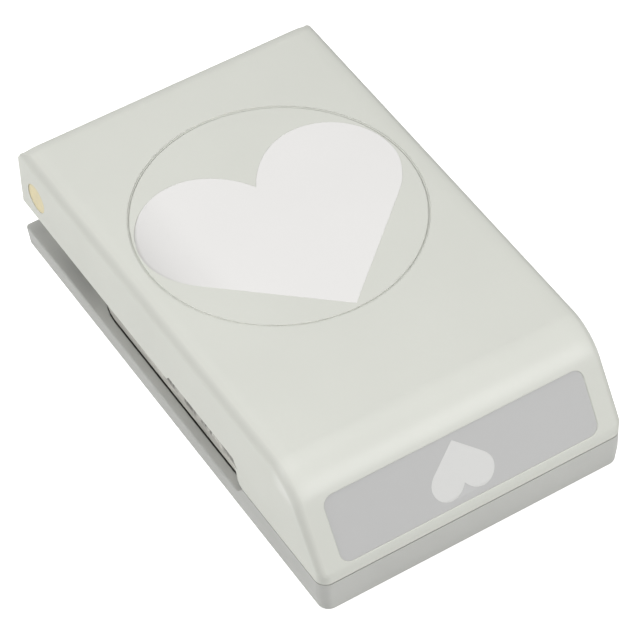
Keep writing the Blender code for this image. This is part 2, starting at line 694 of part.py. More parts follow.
def spring(name, centre):
    """A compression spring between the guide plate and the punch head."""
    low = GUIDE_TOP_Z + GAP + SPRING_WIRE_R
    high = HEAD_Z - GAP - SPRING_WIRE_R
    count = spring_turns() * SPRING_POINTS_PER_TURN
    curve = bpy.data.curves.new(name, "CURVE")
    curve.dimensions = "3D"
    curve.bevel_depth = SPRING_WIRE_R
    curve.bevel_resolution = 1
    curve.use_fill_caps = True
    spline = curve.splines.new("POLY")
    spline.points.add(count)
    for index, point in enumerate(spline.points):
        angle = 2 * math.pi * index / SPRING_POINTS_PER_TURN
        rise = low + (high - low) * index / count
        point.co = (SPRING_R * math.cos(angle), SPRING_R * math.sin(angle), rise, 1)
    return made_mesh(mesh_object(name, curve, frame_at(centre), PARTS))


def print_spring_gap():
    pitch = (HEAD_Z - GUIDE_TOP_Z - 2 * GAP - 2 * SPRING_WIRE_R) / spring_turns()
    print(f"spring: least gap between turns {(pitch - 2 * SPRING_WIRE_R) * 1000:.2f} mm")


# Punch

def make_punch():
    top = HEAD_Z - GAP
    bottom = DIE_TOP_Z - PUNCH_REACH
    cutter = prism("heart_punch", [cut_heart()], bottom, top, frame_at(), PARTS)
    hollow = prism("punch_hollow", [cut_heart(-PUNCH_LIP)], bottom - OVERRUN, bottom + PUNCH_HOLLOW,
                   frame_at(), CUTTERS)
    cut(cutter, hollow)
    for x, y in PUNCH_SCREW_PLACES:
        depth = PUNCH_SCREW_DEPTH + GAP
        cut(cutter, rod("punch_thread", (x, y, top), SCREW_R + GAP, 2 * depth, UPRIGHT_AXES, CUTTERS))
    dress(cutter, STEEL, PUNCH_GUIDE)
    outline = rectangle(POST_BACK_X + HEAD_POST_MARGIN, POST_FRONT_Y - HEAD_POST_MARGIN,
                        POST_BACK_Y + HEAD_POST_MARGIN, HEAD_CORNER_R, HEAD_CORNER_R)
    holes = [circle(place, POST_R + GAP) for place in POST_PLACES]
    holes += [circle(place, SCREW_R + GAP) for place in PUNCH_SCREW_PLACES]
    head = prism("punch_head", [outline] + holes, HEAD_Z, HEAD_TOP_Z, frame_at(), PARTS)
    sunk = SCREW_HEAD_HEIGHT + GAP
    recess_r = SCREW_HEAD_R + GAP
    profile = screw_profile(HEAD_TOP_Z, SCREW_HEAD_R, SCREW_HEAD_HEIGHT, SCREW_R, top - PUNCH_SCREW_DEPTH)
    for index, (x, y) in enumerate(PUNCH_SCREW_PLACES, 1):
        cut(head, rod("head_recess", (x, y, HEAD_TOP_Z), recess_r, 2 * sunk, UPRIGHT_AXES, CUTTERS))
        dress(turned(f"punch_screw_{index}", profile, frame_at((x, y, 0)), PARTS), STEEL, PUNCH_GUIDE)
    dress(head, STEEL, PUNCH_GUIDE)


# Lever

def slope_point(up, out):
    """A (y, z) point measured up the sloping front from its lip, and out from its surface."""
    return (FRONT_Y + up * math.cos(FRONT_SLOPE) - out * math.sin(FRONT_SLOPE),
            LIP_TOP_Z + up * math.sin(FRONT_SLOPE) + out * math.cos(FRONT_SLOPE))


def slope_at_height(height, out):
    """The y of the sloping front, shifted outwards, at a height."""
    start_y, start_z = slope_point(0, out)
    return start_y + (height - start_z) / math.tan(FRONT_SLOPE)


def lever_side():
    """The lever's side view: over the top from the front foot to the back, then the lower edge."""
    top = [(BACK_Y, HEIGHT, 0), (slope_at_height(HEIGHT, 0), HEIGHT, BEND_R), (FRONT_Y, LIP_TOP_Z, 0)]
    foot_end = FRONT_Y + FOOT_LENGTH
    foot_r = min(FOOT_ROUND, (SIDE_EDGE_Z - LID_FOOT_Z) / 2)
    lower = [(FRONT_Y, LID_FOOT_Z, 0), (foot_end, LID_FOOT_Z, foot_r),
             (foot_end + FOOT_RISE, SIDE_EDGE_Z, foot_r), (BACK_Y, SIDE_EDGE_Z, 0)]
    return rounded(lower + top)


def lever_edge_round(edge):
    """How far an edge of the extruded lever is rounded; its ends hold (y, z, x) places."""
    (y_1, z_1, x_1), (y_2, z_2, x_2) = (vert.co for vert in edge.verts)
    behind = min(y_1, y_2) > BACK_Y - WELD
    in_front = max(y_1, y_2) < FRONT_Y + WELD
    if abs(x_1 - x_2) > WELD:
        if behind and min(z_1, z_2) > HEIGHT - WELD:
            return LID_BACK_TOP_R
        at_lip = in_front and min(z_1, z_2) > LIP_TOP_Z - WELD
        return LID_LIP_ROUND if at_lip else 0
    if behind:
        return LID_BACK_CORNER_R
    if in_front:
        return LID_FRONT_CORNER_R
    return LID_EDGE_R if max(z_1, z_2) > SIDE_EDGE_Z + WELD else 0


def round_lever_edges(lever):
    """Rounds the edges of the sides, front and back, each by its own width."""
    work = edit(lever)
    weight = work.edges.layers.float.new("bevel_weight_edge")
    for edge in work.edges:
        edge[weight] = lever_edge_round(edge) / LID_EDGE_R
    store(work, lever)
    bevel = lever.modifiers.new("rounded_edges", "BEVEL")
    bevel.limit_method = "WEIGHT"
    bevel.width = LID_EDGE_R
    bevel.segments = EDGE_STEPS
    bevel.use_clamp_overlap = False


def lever_cavity():
    low = LID_FOOT_Z - OVERRUN
    inner_back = BACK_Y - LID_WALL
    front_top = slope_at_height(ROOF_Z, -LID_FRONT_WALL)
    outline = rounded([(slope_at_height(low, -LID_FRONT_WALL), low, 0), (inner_back, low, 0),
                       (inner_back, ROOF_Z, LID_INNER_R), (front_top, ROOF_Z, BEND_R - LID_FRONT_WALL)])
    return prism("lever_cavity", [outline], -INNER_HALF_X, INNER_HALF_X, frame_at(axes=ACROSS_AXES), CUTTERS)


def panel_outline(grow=0.0):
    return rectangle(PANEL_HALF_X + grow, PANEL_LOW - grow, PANEL_LOW + PANEL_RISE + grow,
                     PANEL_CORNER_R + grow, PANEL_CORNER_R + grow)


def slope_frame():
    return frame_at((0, FRONT_Y, LIP_TOP_Z), SLOPE_AXES)


def make_lever():
    lever = prism("lever_shell", [lever_side()], -HALF_WIDTH, HALF_WIDTH, frame_at(axes=ACROSS_AXES), PARTS)
    round_lever_edges(lever)
    cut(lever, lever_cavity())
    well_floor = DISC_FLOOR_Z - GAP
    boss = circle((0, DISH_Y), DISC_R + DISC_BOSS_MARGIN, DISC_STEPS)
    well = circle((0, DISH_Y), DISC_R + DISC_GROOVE, DISC_STEPS)
    join(lever, prism("disc_boss", [boss], BOSS_FLOOR_Z, ROOF_Z + LID_ROOF / 2, frame_at(), CUTTERS))
    cut(lever, prism("disc_well", [well], well_floor, HEIGHT + OVERRUN, frame_at(), CUTTERS))
    for side in (-1, 1):
        inner, outer = side * RIB_X - RIB_THICKNESS / 2, side * RIB_X + RIB_THICKNESS / 2
        low = (inner, ROD_Y - RIB_HALF_LENGTH, ROD_Z - RIB_GRIP)
        high = (outer, ROD_Y + RIB_HALF_LENGTH, BOSS_FLOOR_Z + DISC_BOSS_FLOOR / 2)
        join(lever, box("rod_rib", low, high, CUTTERS))
    cut(lever, rod("rod_saddle", (0, ROD_Y, ROD_Z), ROD_R + GAP, 2 * ROD_HALF, ACROSS_AXES, CUTTERS))
    catch_front = FRONT_Y + LID_WALL / 2
    join(lever, box("lock_catch", (-CATCH_HALF_X, catch_front, CATCH_Z),
                    (CATCH_HALF_X, CATCH_BACK_Y, CATCH_Z + CATCH_THICKNESS), CUTTERS))
    pocket_floor = -PANEL_SINK - PANEL_THICKNESS - GAP
    cut(lever, prism("panel_pocket", [panel_outline(GAP)], pocket_floor, OVERRUN, slope_frame(), CUTTERS))
    pin_hole_r = PIN_HEAD_R + GAP
    cut(lever, rod("pin_bore", (0, HINGE_Y, HINGE_Z), pin_hole_r, WIDTH + OVERRUN, ACROSS_AXES, CUTTERS))
    dress(lever, LEVER_STONE, LEVER_PIVOT)


def dish_height(radius):
    """Depth of the dish below its rim at a distance from its centre."""
    flat_r = DISC_R - DISH_SLOPE_WIDTH
    if radius <= flat_r:
        return -DISH_DEPTH
    share = (radius - flat_r) / DISH_SLOPE_WIDTH
    return -DISH_DEPTH * (1 + math.cos(math.pi * share)) / 2


def dish_profile(offset):
    radii = [0] + [DISC_R + DISH_SLOPE_WIDTH * (i / DISH_RINGS - 1) for i in range(DISH_RINGS + 1)]
    return [(radius, dish_height(radius) + offset) for radius in radii]


def inlay_heart(grow=0.0):
    return heart(HEART_WIDTH, HEART_HEIGHT, (0, HEART_TIP_Y - DISH_Y), grow=grow)


def make_dish():
    frame = frame_at((0, DISH_Y, HEIGHT - DISC_SINK))
    profile = dish_profile(0) + [(DISC_R, -DISC_THICKNESS), (0, -DISC_THICKNESS)]
    disc = turned("shape_disc", profile, frame, PARTS, DISC_STEPS)
    pocket = prism("inlay_pocket", [inlay_heart(GAP)], -DISC_THICKNESS, OVERRUN, frame, CUTTERS)
    over, outside = 2 * OVERRUN, DISC_R + OVERRUN
    pocket_floor = -INLAY_THICKNESS - GAP
    room = dish_profile(over) + [(outside, over), (outside, pocket_floor)] + dish_profile(pocket_floor)[::-1]
    under = turned("inlay_room", room, frame, CUTTERS, DISC_STEPS)
    boolean(pocket, under, "INTERSECT")
    cut(disc, pocket)
    dress(disc, LEVER_STONE, LEVER_PIVOT)
    inlay = prism("heart_inlay", [inlay_heart()], -DISC_THICKNESS, OVERRUN, frame, PARTS)
    layer = dish_profile(0) + dish_profile(-INLAY_THICKNESS)[::-1]
    skin = turned("inlay_layer", layer, frame, CUTTERS, DISC_STEPS)
    boolean(inlay, skin, "INTERSECT")
    dress(inlay, INLAY_WHITE, LEVER_PIVOT)


def make_panel():
    frame = slope_frame()
    panel = prism("front_panel", [panel_outline()], -PANEL_SINK - PANEL_THICKNESS, -PANEL_SINK, frame, PARTS)
    tip = (0, PANEL_LOW + PANEL_RISE * (1 - PANEL_HEART_TOP_SHARE))

    def figure(grow):
        return heart(PANEL_HEART_WIDTH, PANEL_HEART_HEIGHT, tip, PANEL_HEART_STEPS, grow, point_up=True)

    floor = -PANEL_SINK - PANEL_HEART_THICKNESS
    cut(panel, prism("panel_heart_pocket", [figure(GAP / 2)], floor - GAP / 2, 0, frame, CUTTERS))
    dress(panel, PANEL_GREY, LEVER_PIVOT)
    dress(prism("panel_heart", [figure(0)], floor, -PANEL_SINK, frame, PARTS), PANEL_HEART_PALE, LEVER_PIVOT)


def make_hinge_pin():
    """The pin lies across: its profile's height runs along X, head at the left."""
    outer = HALF_WIDTH - GAP / 2
    head_inner = outer - PIN_HEAD_THICKNESS
    spigot_end = outer - PIN_HEAD_THICKNESS / 2
    profile = [(0, outer), (PIN_HEAD_R, outer), (PIN_HEAD_R, head_inner), (PIN_R, head_inner),
               (PIN_R, GAP - head_inner), (PIN_SPIGOT_R, GAP - head_inner), (PIN_SPIGOT_R, -spigot_end),
               (0, -spigot_end)]
    left = frame_at((0, HINGE_Y, HINGE_Z), ACROSS_LEFT_AXES)
    dress(turned("hinge_pin", profile, left, PARTS), PIN_BRASS, LEVER_PIVOT)
    hole_r = PIN_SPIGOT_R + GAP
    hole_end = spigot_end + GAP
    cap = [(0, outer), (PIN_HEAD_R, outer), (PIN_HEAD_R, head_inner),
           (hole_r, head_inner), (hole_r, hole_end), (0, hole_end)]
    right = frame_at((0, HINGE_Y, HINGE_Z), ACROSS_AXES)
    dress(turned("pin_cap", cap, right, PARTS), PIN_BRASS, LEVER_PIVOT)


def make_rod():
    profile = [(0, ROD_HALF), (ROD_R - ROD_CHAMFER, ROD_HALF), (ROD_R, ROD_HALF - ROD_CHAMFER),
               (ROD_R, ROD_CHAMFER - ROD_HALF), (ROD_R - ROD_CHAMFER, -ROD_HALF), (0, -ROD_HALF)]
    frame = frame_at((0, ROD_Y, ROD_Z), ACROSS_AXES)
    dress(turned("pressure_rod", profile, frame, PARTS), STEEL, LEVER_PIVOT)


# Storage lock

STEM_TOP_Z = LEDGE_Z + STEM_RISE
HOOK_Z = LEDGE_Z + GAP
HOOK_FOOT_TOP_Z = STEM_TOP_Z + GAP + HOOK_ROOF
NOSE_Z = CATCH_Z + CATCH_THICKNESS + GAP
NOSE_TIP_Y = CATCH_BACK_Y + GAP
UPRIGHT_FRONT_Y = NOSE_TIP_Y + LOCK_TRAVEL


def make_lock_button():
    plate_top = DECK_UNDERSIDE_Z - GAP
    plate_z = plate_top - BUTTON_THICKNESS
    outline = rectangle(BUTTON_HALF_X, LOCK_Y - BUTTON_LENGTH / 2, LOCK_Y + BUTTON_LENGTH / 2,
                        BUTTON_CORNER_R, BUTTON_CORNER_R)
    button = prism("lock_button", [outline], plate_z, plate_top, frame_at(), PARTS)
    join(button, box("lock_stem", (-STEM_HALF, LOCK_Y - STEM_HALF, plate_top - BUTTON_THICKNESS / 2),
                     (STEM_HALF, LOCK_Y + STEM_HALF, STEM_TOP_Z), CUTTERS))
    rib_half_x = BUTTON_HALF_X - BUTTON_CORNER_R
    for step in (-1, 0, 1):
        y = LOCK_Y + step * BUTTON_RIB_PITCH
        join(button, box("grip_rib", (-rib_half_x, y - BUTTON_RIB_HALF, plate_z - BUTTON_RIB_HEIGHT),
                         (rib_half_x, y + BUTTON_RIB_HALF, plate_z + BUTTON_THICKNESS / 2), CUTTERS))
    depth = LOCK_SCREW_DEPTH + GAP
    hole_r = LOCK_SCREW_R + GAP
    cut(button, rod("lock_thread", (0, LOCK_Y, STEM_TOP_Z), hole_r, 2 * depth, UPRIGHT_AXES, CUTTERS))
    dress(button, LOCK_GREY, LOCK_GUIDE)


def make_lock_hook():
    foot_back = LOCK_Y + HOOK_FOOT_BACK
    upright_back = UPRIGHT_FRONT_Y + HOOK_UPRIGHT
    nose_top = NOSE_Z + NOSE_THICKNESS
    side = [(UPRIGHT_FRONT_Y, HOOK_Z), (foot_back, HOOK_Z), (foot_back, HOOK_FOOT_TOP_Z),
            (upright_back, HOOK_FOOT_TOP_Z), (upright_back, nose_top), (NOSE_TIP_Y, nose_top),
            (NOSE_TIP_Y, NOSE_Z), (UPRIGHT_FRONT_Y, NOSE_Z)]
    hook = prism("lock_hook", [side], -HOOK_HALF_X, HOOK_HALF_X, frame_at(axes=ACROSS_AXES), PARTS)
    room = STEM_HALF + GAP
    cut(hook, box("stem_socket", (-room, LOCK_Y - room, HOOK_Z - OVERRUN),
                  (room, LOCK_Y + room, STEM_TOP_Z + GAP), CUTTERS))
    hole_r = LOCK_SCREW_R + GAP
    depth = HOOK_ROOF + OVERRUN
    cut(hook, rod("lock_screw_hole", (0, LOCK_Y, HOOK_FOOT_TOP_Z), hole_r, 2 * depth, UPRIGHT_AXES, CUTTERS))
    dress(hook, LOCK_GREY, LOCK_GUIDE)
    head_top = HOOK_FOOT_TOP_Z + GAP + SCREW_HEAD_HEIGHT
    profile = screw_profile(head_top, LOCK_SCREW_HEAD_R, SCREW_HEAD_HEIGHT, LOCK_SCREW_R,
                            STEM_TOP_Z - LOCK_SCREW_DEPTH)
    dress(turned("lock_screw", profile, frame_at((0, LOCK_Y, 0)), PARTS), STEEL, LOCK_GUIDE)


make_base()
make_die_set()
make_die_screws()
make_posts_and_springs()
print_spring_gap()
make_punch()
make_lever()
make_dish()
make_panel()
make_hinge_pin()
make_rod()
make_lock_button()
make_lock_hook()
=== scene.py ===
import json
import math
from contextlib import contextmanager

import bmesh
import bpy
from mathutils import Matrix, Vector
from mathutils.geometry import interpolate_bezier


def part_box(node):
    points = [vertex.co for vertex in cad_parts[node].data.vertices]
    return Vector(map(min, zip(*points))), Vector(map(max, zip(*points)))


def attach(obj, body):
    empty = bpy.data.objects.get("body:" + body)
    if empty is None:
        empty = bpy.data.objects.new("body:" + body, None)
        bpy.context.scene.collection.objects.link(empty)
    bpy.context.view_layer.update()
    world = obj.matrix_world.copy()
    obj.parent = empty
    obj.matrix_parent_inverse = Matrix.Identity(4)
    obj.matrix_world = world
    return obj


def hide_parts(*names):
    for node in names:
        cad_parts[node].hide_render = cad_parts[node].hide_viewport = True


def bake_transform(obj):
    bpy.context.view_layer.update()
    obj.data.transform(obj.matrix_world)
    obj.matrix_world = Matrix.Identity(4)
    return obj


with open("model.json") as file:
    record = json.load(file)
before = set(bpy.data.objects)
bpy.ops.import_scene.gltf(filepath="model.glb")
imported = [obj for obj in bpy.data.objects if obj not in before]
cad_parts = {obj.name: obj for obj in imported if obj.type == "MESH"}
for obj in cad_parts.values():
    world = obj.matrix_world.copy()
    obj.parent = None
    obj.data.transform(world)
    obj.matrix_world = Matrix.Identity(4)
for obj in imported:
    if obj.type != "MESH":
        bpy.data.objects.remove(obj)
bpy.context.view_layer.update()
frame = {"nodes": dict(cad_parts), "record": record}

# Places read from the frame, in metres
LEVER_LOW, LEVER_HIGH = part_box("lever_shell")
DISC_LOW, DISC_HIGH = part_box("shape_disc")
HEART_LOW, HEART_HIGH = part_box("heart_inlay")
DIE_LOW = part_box("die_plate")[0]
GUIDE_LOW, GUIDE_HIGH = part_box("guide_plate")
ROD_LOW, ROD_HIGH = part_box("pressure_rod")
PIN_LOW, PIN_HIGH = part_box("hinge_pin")
BUTTON_LOW, BUTTON_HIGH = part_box("lock_button")
HALF_WIDTH = LEVER_HIGH.x
FRONT_Y, BACK_Y = LEVER_LOW.y, LEVER_HIGH.y
TOP_Z = LEVER_HIGH.z
FOOT_Z = LEVER_LOW.z
HINGE_Y = (PIN_LOW.y + PIN_HIGH.y) / 2
HINGE_Z = (PIN_LOW.z + PIN_HIGH.z) / 2
DISC_Y = (DISC_LOW.y + DISC_HIGH.y) / 2
ROD_Y = (ROD_LOW.y + ROD_HIGH.y) / 2
ROD_Z = (ROD_LOW.z + ROD_HIGH.z) / 2
LOCK_Y = (BUTTON_LOW.y + BUTTON_HIGH.y) / 2

NEAR = 0.00001          # places closer than this are the same place
WELD = 0.000002
FLAT_ANGLE = math.radians(0.5)
SMOOTH_ANGLE = math.radians(35)
COIL_SMOOTH_ANGLE = math.radians(40)
OVERRUN = 0.001
UPWARDS = 0.3           # an upper face's normal rises more than this
GAP = 0.0003
SEAT_GAP = 0.0001

# Lever
LIP_HEIGHT = 0.0025
SLOPE = math.radians(59)
SLOPE_NORMAL = (0, -math.sin(SLOPE), math.cos(SLOPE))
BEND_R = 0.013
BEND_STEPS = 28
BEND_LENGTH = BEND_R * math.tan(SLOPE / 2)      # from its sharp corner to either end
BEND_START_Y = FRONT_Y + (TOP_Z - FOOT_Z - LIP_HEIGHT) / math.tan(SLOPE) + BEND_LENGTH
BEND_END_Z = TOP_Z - BEND_LENGTH * math.sin(SLOPE)
TOP_SIDE_R = 0.002
EDGE_STEPS = 8
BACK_TOP_R = 0.0054
BACK_CORNER_R = 0.0012
FRONT_CORNER_R = 0.003
LIP_R = 0.001
FOOT_LENGTH = 0.0368
FOOT_RISE = 0.0018
FOOT_R = 0.0022
SIDE_EDGE_Z = HINGE_Z - 0.0075
RELIEF_YS = (-0.0343, -0.0004)
RELIEF_HEIGHT = 0.0015
RELIEF_RAMP = 0.002
WALL = 0.0022
ROOF = 0.0024
FRONT_WALL = 0.0036
INNER_R = 0.0022
CAVITY_BEND_STEPS = 12
CAVITY_BACK_STEPS = 4
CROWN_START = 0.0375
CROWN_CUTS = (CROWN_START, 0.0387, 0.0399)
CROWN_FALL = 0.0008
CROWN_FOOT_Z = 0.018
CROWN_RISE = 0.01
RIB_X = 0.022           # the ribs that carry the pressure rod
RIB_HALF_THICKNESS = 0.0015
RIB_HALF_LENGTH = 0.0065
RIB_DEPTH = 0.0012
SADDLE_R = 0.0033
SADDLE_LENGTH = 0.06
CATCH_HALF_X = 0.007
CATCH_LENGTH = 0.008
CATCH_ZS = (0.0104, 0.0119)
PIN_BORE_R = 0.0041
PIN_HEAD_R = 0.00409
PIN_HEAD_THICKNESS = 0.0019
PIN_RIM_R = 0.00012
PIN_SHANK_R = 0.0025

# Disc and hearts on the lever
DISC_R = DISC_HIGH.x + 0.00007
WELL_R = DISC_HIGH.x + 0.00014
GROOVE_OUTER_R = WELL_R + 0.0003
DISC_FACE_R = DISC_R - 0.00015
GROOVE_DEPTH = 0.0003
GROOVE_EDGE_R = 0.00016
GROOVE_MIDDLE_R = (GROOVE_OUTER_R + DISC_FACE_R) / 2
# Half the width of the band of painted shade along the groove
GROOVE_SHADE_HALF = 0.0008
BOSS_R = DISC_HIGH.x + 0.0026
BOSS_FLOOR = 0.0016
DISC_SIDES = 180
HEART_WIDTH = HEART_HIGH.x * 2 + 0.0015
HEART_HEIGHT = HEART_HIGH.y - HEART_LOW.y - 0.0003
HEART_TIP_Y = HEART_LOW.y
HEART_RIM_R = 0.00006
HEART_GAP = 0.00002
LOBE_DIP = 0.0005
LOBE_DIP_START = 0.026
LOBE_DIP_LENGTH = 0.01
LOBE_DIP_STEPS = 10
INLAY_THICKNESS = 0.0012
HEART_FLANK_SHARES = (0.803, 0.439)
HEART_SIDE_SHARES = (1.0, 0.678)
HEART_TOP_SHARES = (0.499, 1.0)
HEART_CLEFT_SHARES = (0.0, 0.794)
HEART_CLEFT_HANDLE_SHARES = (0.08, 0.091)
FLANK_HANDLE_SHARE = 0.6
LOBE_HANDLE_SHARE = 0.55
CLEFT_TOP_HANDLE_SHARE = 0.49
HEART_STEPS = 24

# Panel in the lever's front, measured up the slope from the lip
PANEL_HALF_X = 0.0364
PANEL_LOW = 0.0012
PANEL_HIGH = 0.0188
PANEL_R = 0.0028
PANEL_SINK = 0.00025
PANEL_THICKNESS = 0.0014
PANEL_POCKET_DEPTH = 0.0025
PANEL_EDGE_R = 0.00002
PANEL_HEART_THICKNESS = 0.0008
PANEL_RIM_R = 0.0003
PANEL_LOW_RIM_R = 0.00012
PANEL_HEART_WIDTH = 0.0174
PANEL_HEART_HEIGHT = 0.0142
PANEL_HEART_TIP = (-0.0009, 0.0171)

# Base
BASE_DRAFT = 0.0006
BASE_WALL = 0.0019
RIM_Z = 0.00965
LEDGE_Z = 0.0065
RIM_LENGTH = 0.0355
RIM_FALL = 0.0026
RIM_FALL_R = 0.0012
BASE_CORNER_RS = (0.003, 0.0012)
LEDGE_EDGE_R = 0.0005
RIM_EDGE_R = 0.0001
BASE_FOOT_R = 0.0004
DECK_UNDERSIDE_Z = 0.0043
SHELF_Z = DIE_LOW.z - GAP
SHELF_THICKNESS = 0.002
RIM_ROOT_Z = LEDGE_Z * 0.7
WELL_CORNER_R = 0.0011
POCKET_CORNER_R = 0.0019
WINDOW_MARGIN = 0.0025
LOCK_SLOT_HALF = 0.0028
LOCK_TRAVEL = 0.0032
EAR_INSET = 0.005
EAR_THICKNESS = 0.004
EAR_R = 0.0048
EAR_FOOT = 0.0075
EAR_NECK = 0.0036
EAR_BORE_R = 0.0028

# Die set and springs
DIE_SET_CORNER_RS = (0.003, 0.016)
GUIDE_DROP = 0.0002
GUIDE_RIM_R = 0.0003
SCREW_HOLE_R = 0.00165
POST_HOLE_R = 0.0018
WIRE_R = 0.0004
COIL_TURNS = 4
COIL_STEPS = 28


# Working in edit mode

def select_only(piece):
    bpy.ops.object.select_all(action="DESELECT")
    piece.select_set(True)
    bpy.context.view_layer.objects.active = piece


@contextmanager
def editing(piece):
    select_only(piece)
    bpy.ops.object.mode_set(mode="EDIT")
    yield
    bpy.ops.object.mode_set(mode="OBJECT")


def choose(kind, test):
    """Selects, in edit mode, the vertices, edges or faces that pass a test."""
    bpy.ops.mesh.select_all(action="DESELECT")
    bpy.ops.mesh.select_mode(type=kind)
    mesh = bmesh.from_edit_mesh(bpy.context.object.data)
    group = {"VERT": mesh.verts, "EDGE": mesh.edges, "FACE": mesh.faces}[kind]
    for part in group:
        if test(part):
            part.select_set(True)
    mesh.select_flush_mode()
    bmesh.update_edit_mesh(bpy.context.object.data)


def lies(part, **planes):
    """True if every corner of a vertex, edge or face lies at the given x, y or z."""
    corners = [part] if isinstance(part, bmesh.types.BMVert) else part.verts
    return all(abs(corner.co["xyz".index(axis)] - place) < NEAR
               for corner in corners for axis, place in planes.items())


def bevel(offset, segments):
    bpy.ops.mesh.bevel(offset=offset, offset_type="OFFSET", segments=segments, profile=0.5,
                       affect="EDGES", clamp_overlap=False)


def bisect(place, normal, clear=False):
    bpy.ops.mesh.select_all(action="SELECT")
    bpy.ops.mesh.bisect(plane_co=place, plane_no=normal, use_fill=clear, clear_outer=clear,
                        threshold=WELD)


# Starting and finishing pieces

def started(name):
    made = bpy.context.object
    made.name = name
    bpy.ops.object.transform_apply(location=True, rotation=True, scale=True)
    return made


def block(name, low, high):
    low, high = Vector(low), Vector(high)
    bpy.ops.object.select_all(action="DESELECT")
    bpy.ops.mesh.primitive_cube_add(size=1, location=(low + high) / 2, scale=high - low)
    return started(name)


def bar(name, centre, radius, length, along="Z", sides=48):
    turn = {"X": (0, math.pi / 2, 0), "Y": (math.pi / 2, 0, 0), "Z": (0, 0, 0)}[along]
    bpy.ops.object.select_all(action="DESELECT")
    bpy.ops.mesh.primitive_cylinder_add(vertices=sides, radius=radius, depth=length,
                                        location=centre, rotation=turn)
    return started(name)


def edge_is_upright(edge):
    direction = edge.verts[0].co - edge.verts[1].co
    return abs(direction.z) > abs(direction.y)


def round_corners(piece, *corners):
    """Rounds the upright corners at one or both ends of a block."""
    with editing(piece):
        for y, radius in corners:
            choose("EDGE", lambda edge: lies(edge, y=y) and edge_is_upright(edge))
            bevel(radius, EDGE_STEPS)


def rounded_block(name, low, high, radius):
    """A block whose four upright corners are rounded."""
    made = block(name, low, high)
    round_corners(made, (low[1], radius), (high[1], radius))
    return made


def apply_modifier(piece, modifier):
    select_only(piece)
    bpy.ops.object.modifier_apply(modifier=modifier.name)


def round_edges(piece, radius_of, widest, segments):
    """Rounds a piece's edges, each by the width that radius_of gives it."""
    work = bmesh.new()
    work.from_mesh(piece.data)
    weight = work.edges.layers.float.new("bevel_weight_edge")
    for edge in work.edges:
        edge[weight] = radius_of(edge) / widest
    work.to_mesh(piece.data)
    work.free()
    rounding = piece.modifiers.new("rounding", "BEVEL")
    rounding.limit_method = "WEIGHT"
    rounding.width = widest
    rounding.segments = segments
    rounding.use_clamp_overlap = False
    apply_modifier(piece, rounding)
    piece.data.attributes.remove(piece.data.attributes["bevel_weight_edge"])


def carve(piece, operation, *tools):
    for tool in tools:
        step = piece.modifiers.new("carve", "BOOLEAN")
        step.operation = operation
        step.object = tool
        apply_modifier(piece, step)
        bpy.data.objects.remove(tool, do_unlink=True)


def cut(piece, *tools):
    carve(piece, "DIFFERENCE", *tools)


def join(piece, *tools):
    carve(piece, "UNION", *tools)


def smooth(piece):
    select_only(piece)
    bpy.ops.object.shade_smooth_by_angle(angle=SMOOTH_ANGLE)
    weighted = piece.modifiers.new("weighted", "WEIGHTED_NORMAL")
    weighted.keep_sharp = True
    apply_modifier(piece, weighted)


def seat(piece, look, body, slot, *nodes):
    """Gives a finished piece its material and body, and hides the nodes that it stands for.

    The slot is not used.
    """
    piece.data.materials.clear()
    piece.data.materials.append(look)
    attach(piece, body)
    if nodes:
        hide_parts(*nodes)


def centre_of(node):
    low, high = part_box(node)
    return (low + high) / 2


# Outlines and plates

def arc(centre, radius, start, sweep, steps):
    return [(centre[0] + radius * math.cos(start + sweep * i / steps),
             centre[1] + radius * math.sin(start + sweep * i / steps)) for i in range(steps + 1)]


def circle(centre, radius, steps):
    return arc(centre, radius, 0, 2 * math.pi, steps)[:-1]


def rounded_rectangle(half_x, low_y, high_y, low_r, high_r, grow=0.0, steps=10):
    half_x, low_y, high_y = half_x + grow, low_y - grow, high_y + grow
    low_r, high_r = low_r + grow, high_r + grow
    quarter = math.pi / 2
    return (arc((half_x - low_r, low_y + low_r), low_r, -quarter, quarter, steps)
            + arc((half_x - high_r, high_y - high_r), high_r, 0, quarter, steps)
            + arc((high_r - half_x, high_y - high_r), high_r, quarter, quarter, steps)
            + arc((low_r - half_x, low_y + low_r), low_r, math.pi, quarter, steps))


def grown(points, distance):
    """Moves every side of a counter-clockwise outline outwards by a distance."""
    moved = []
    for index, point in enumerate(points):
        here = Vector(point)
        into = (here - Vector(points[index - 1])).normalized()
        out = (Vector(points[(index + 1) % len(points)]) - here).normalized()
        side_in, side_out = Vector((into.y, -into.x)), Vector((out.y, -out.x))
        middle = (side_in + side_out).normalized()
        moved.append(tuple(here + middle * (distance / middle.dot(side_in))))
    return moved


def mirrored(half_outline):
    """The left half of an outline whose right half starts and ends on the mirror line."""
    return [(-x, y) for x, y in reversed(half_outline[1:-1])]


def grown_half(half_outline, distance):
    """Grows the right half of a mirrored outline, up to where it meets the mirror line."""
    moved = grown(half_outline + mirrored(half_outline), distance)[:len(half_outline)]
    kept = moved[:1] + [point for point in moved[1:-1] if point[0] > WELD]
    if len(kept) == len(moved) - 1:
        return kept + moved[-1:]
    last, crossed = kept[-1], moved[len(kept)]
    share = last[0] / (last[0] - crossed[0])
    return kept + [(0, last[1] + share * (crossed[1] - last[1]))]


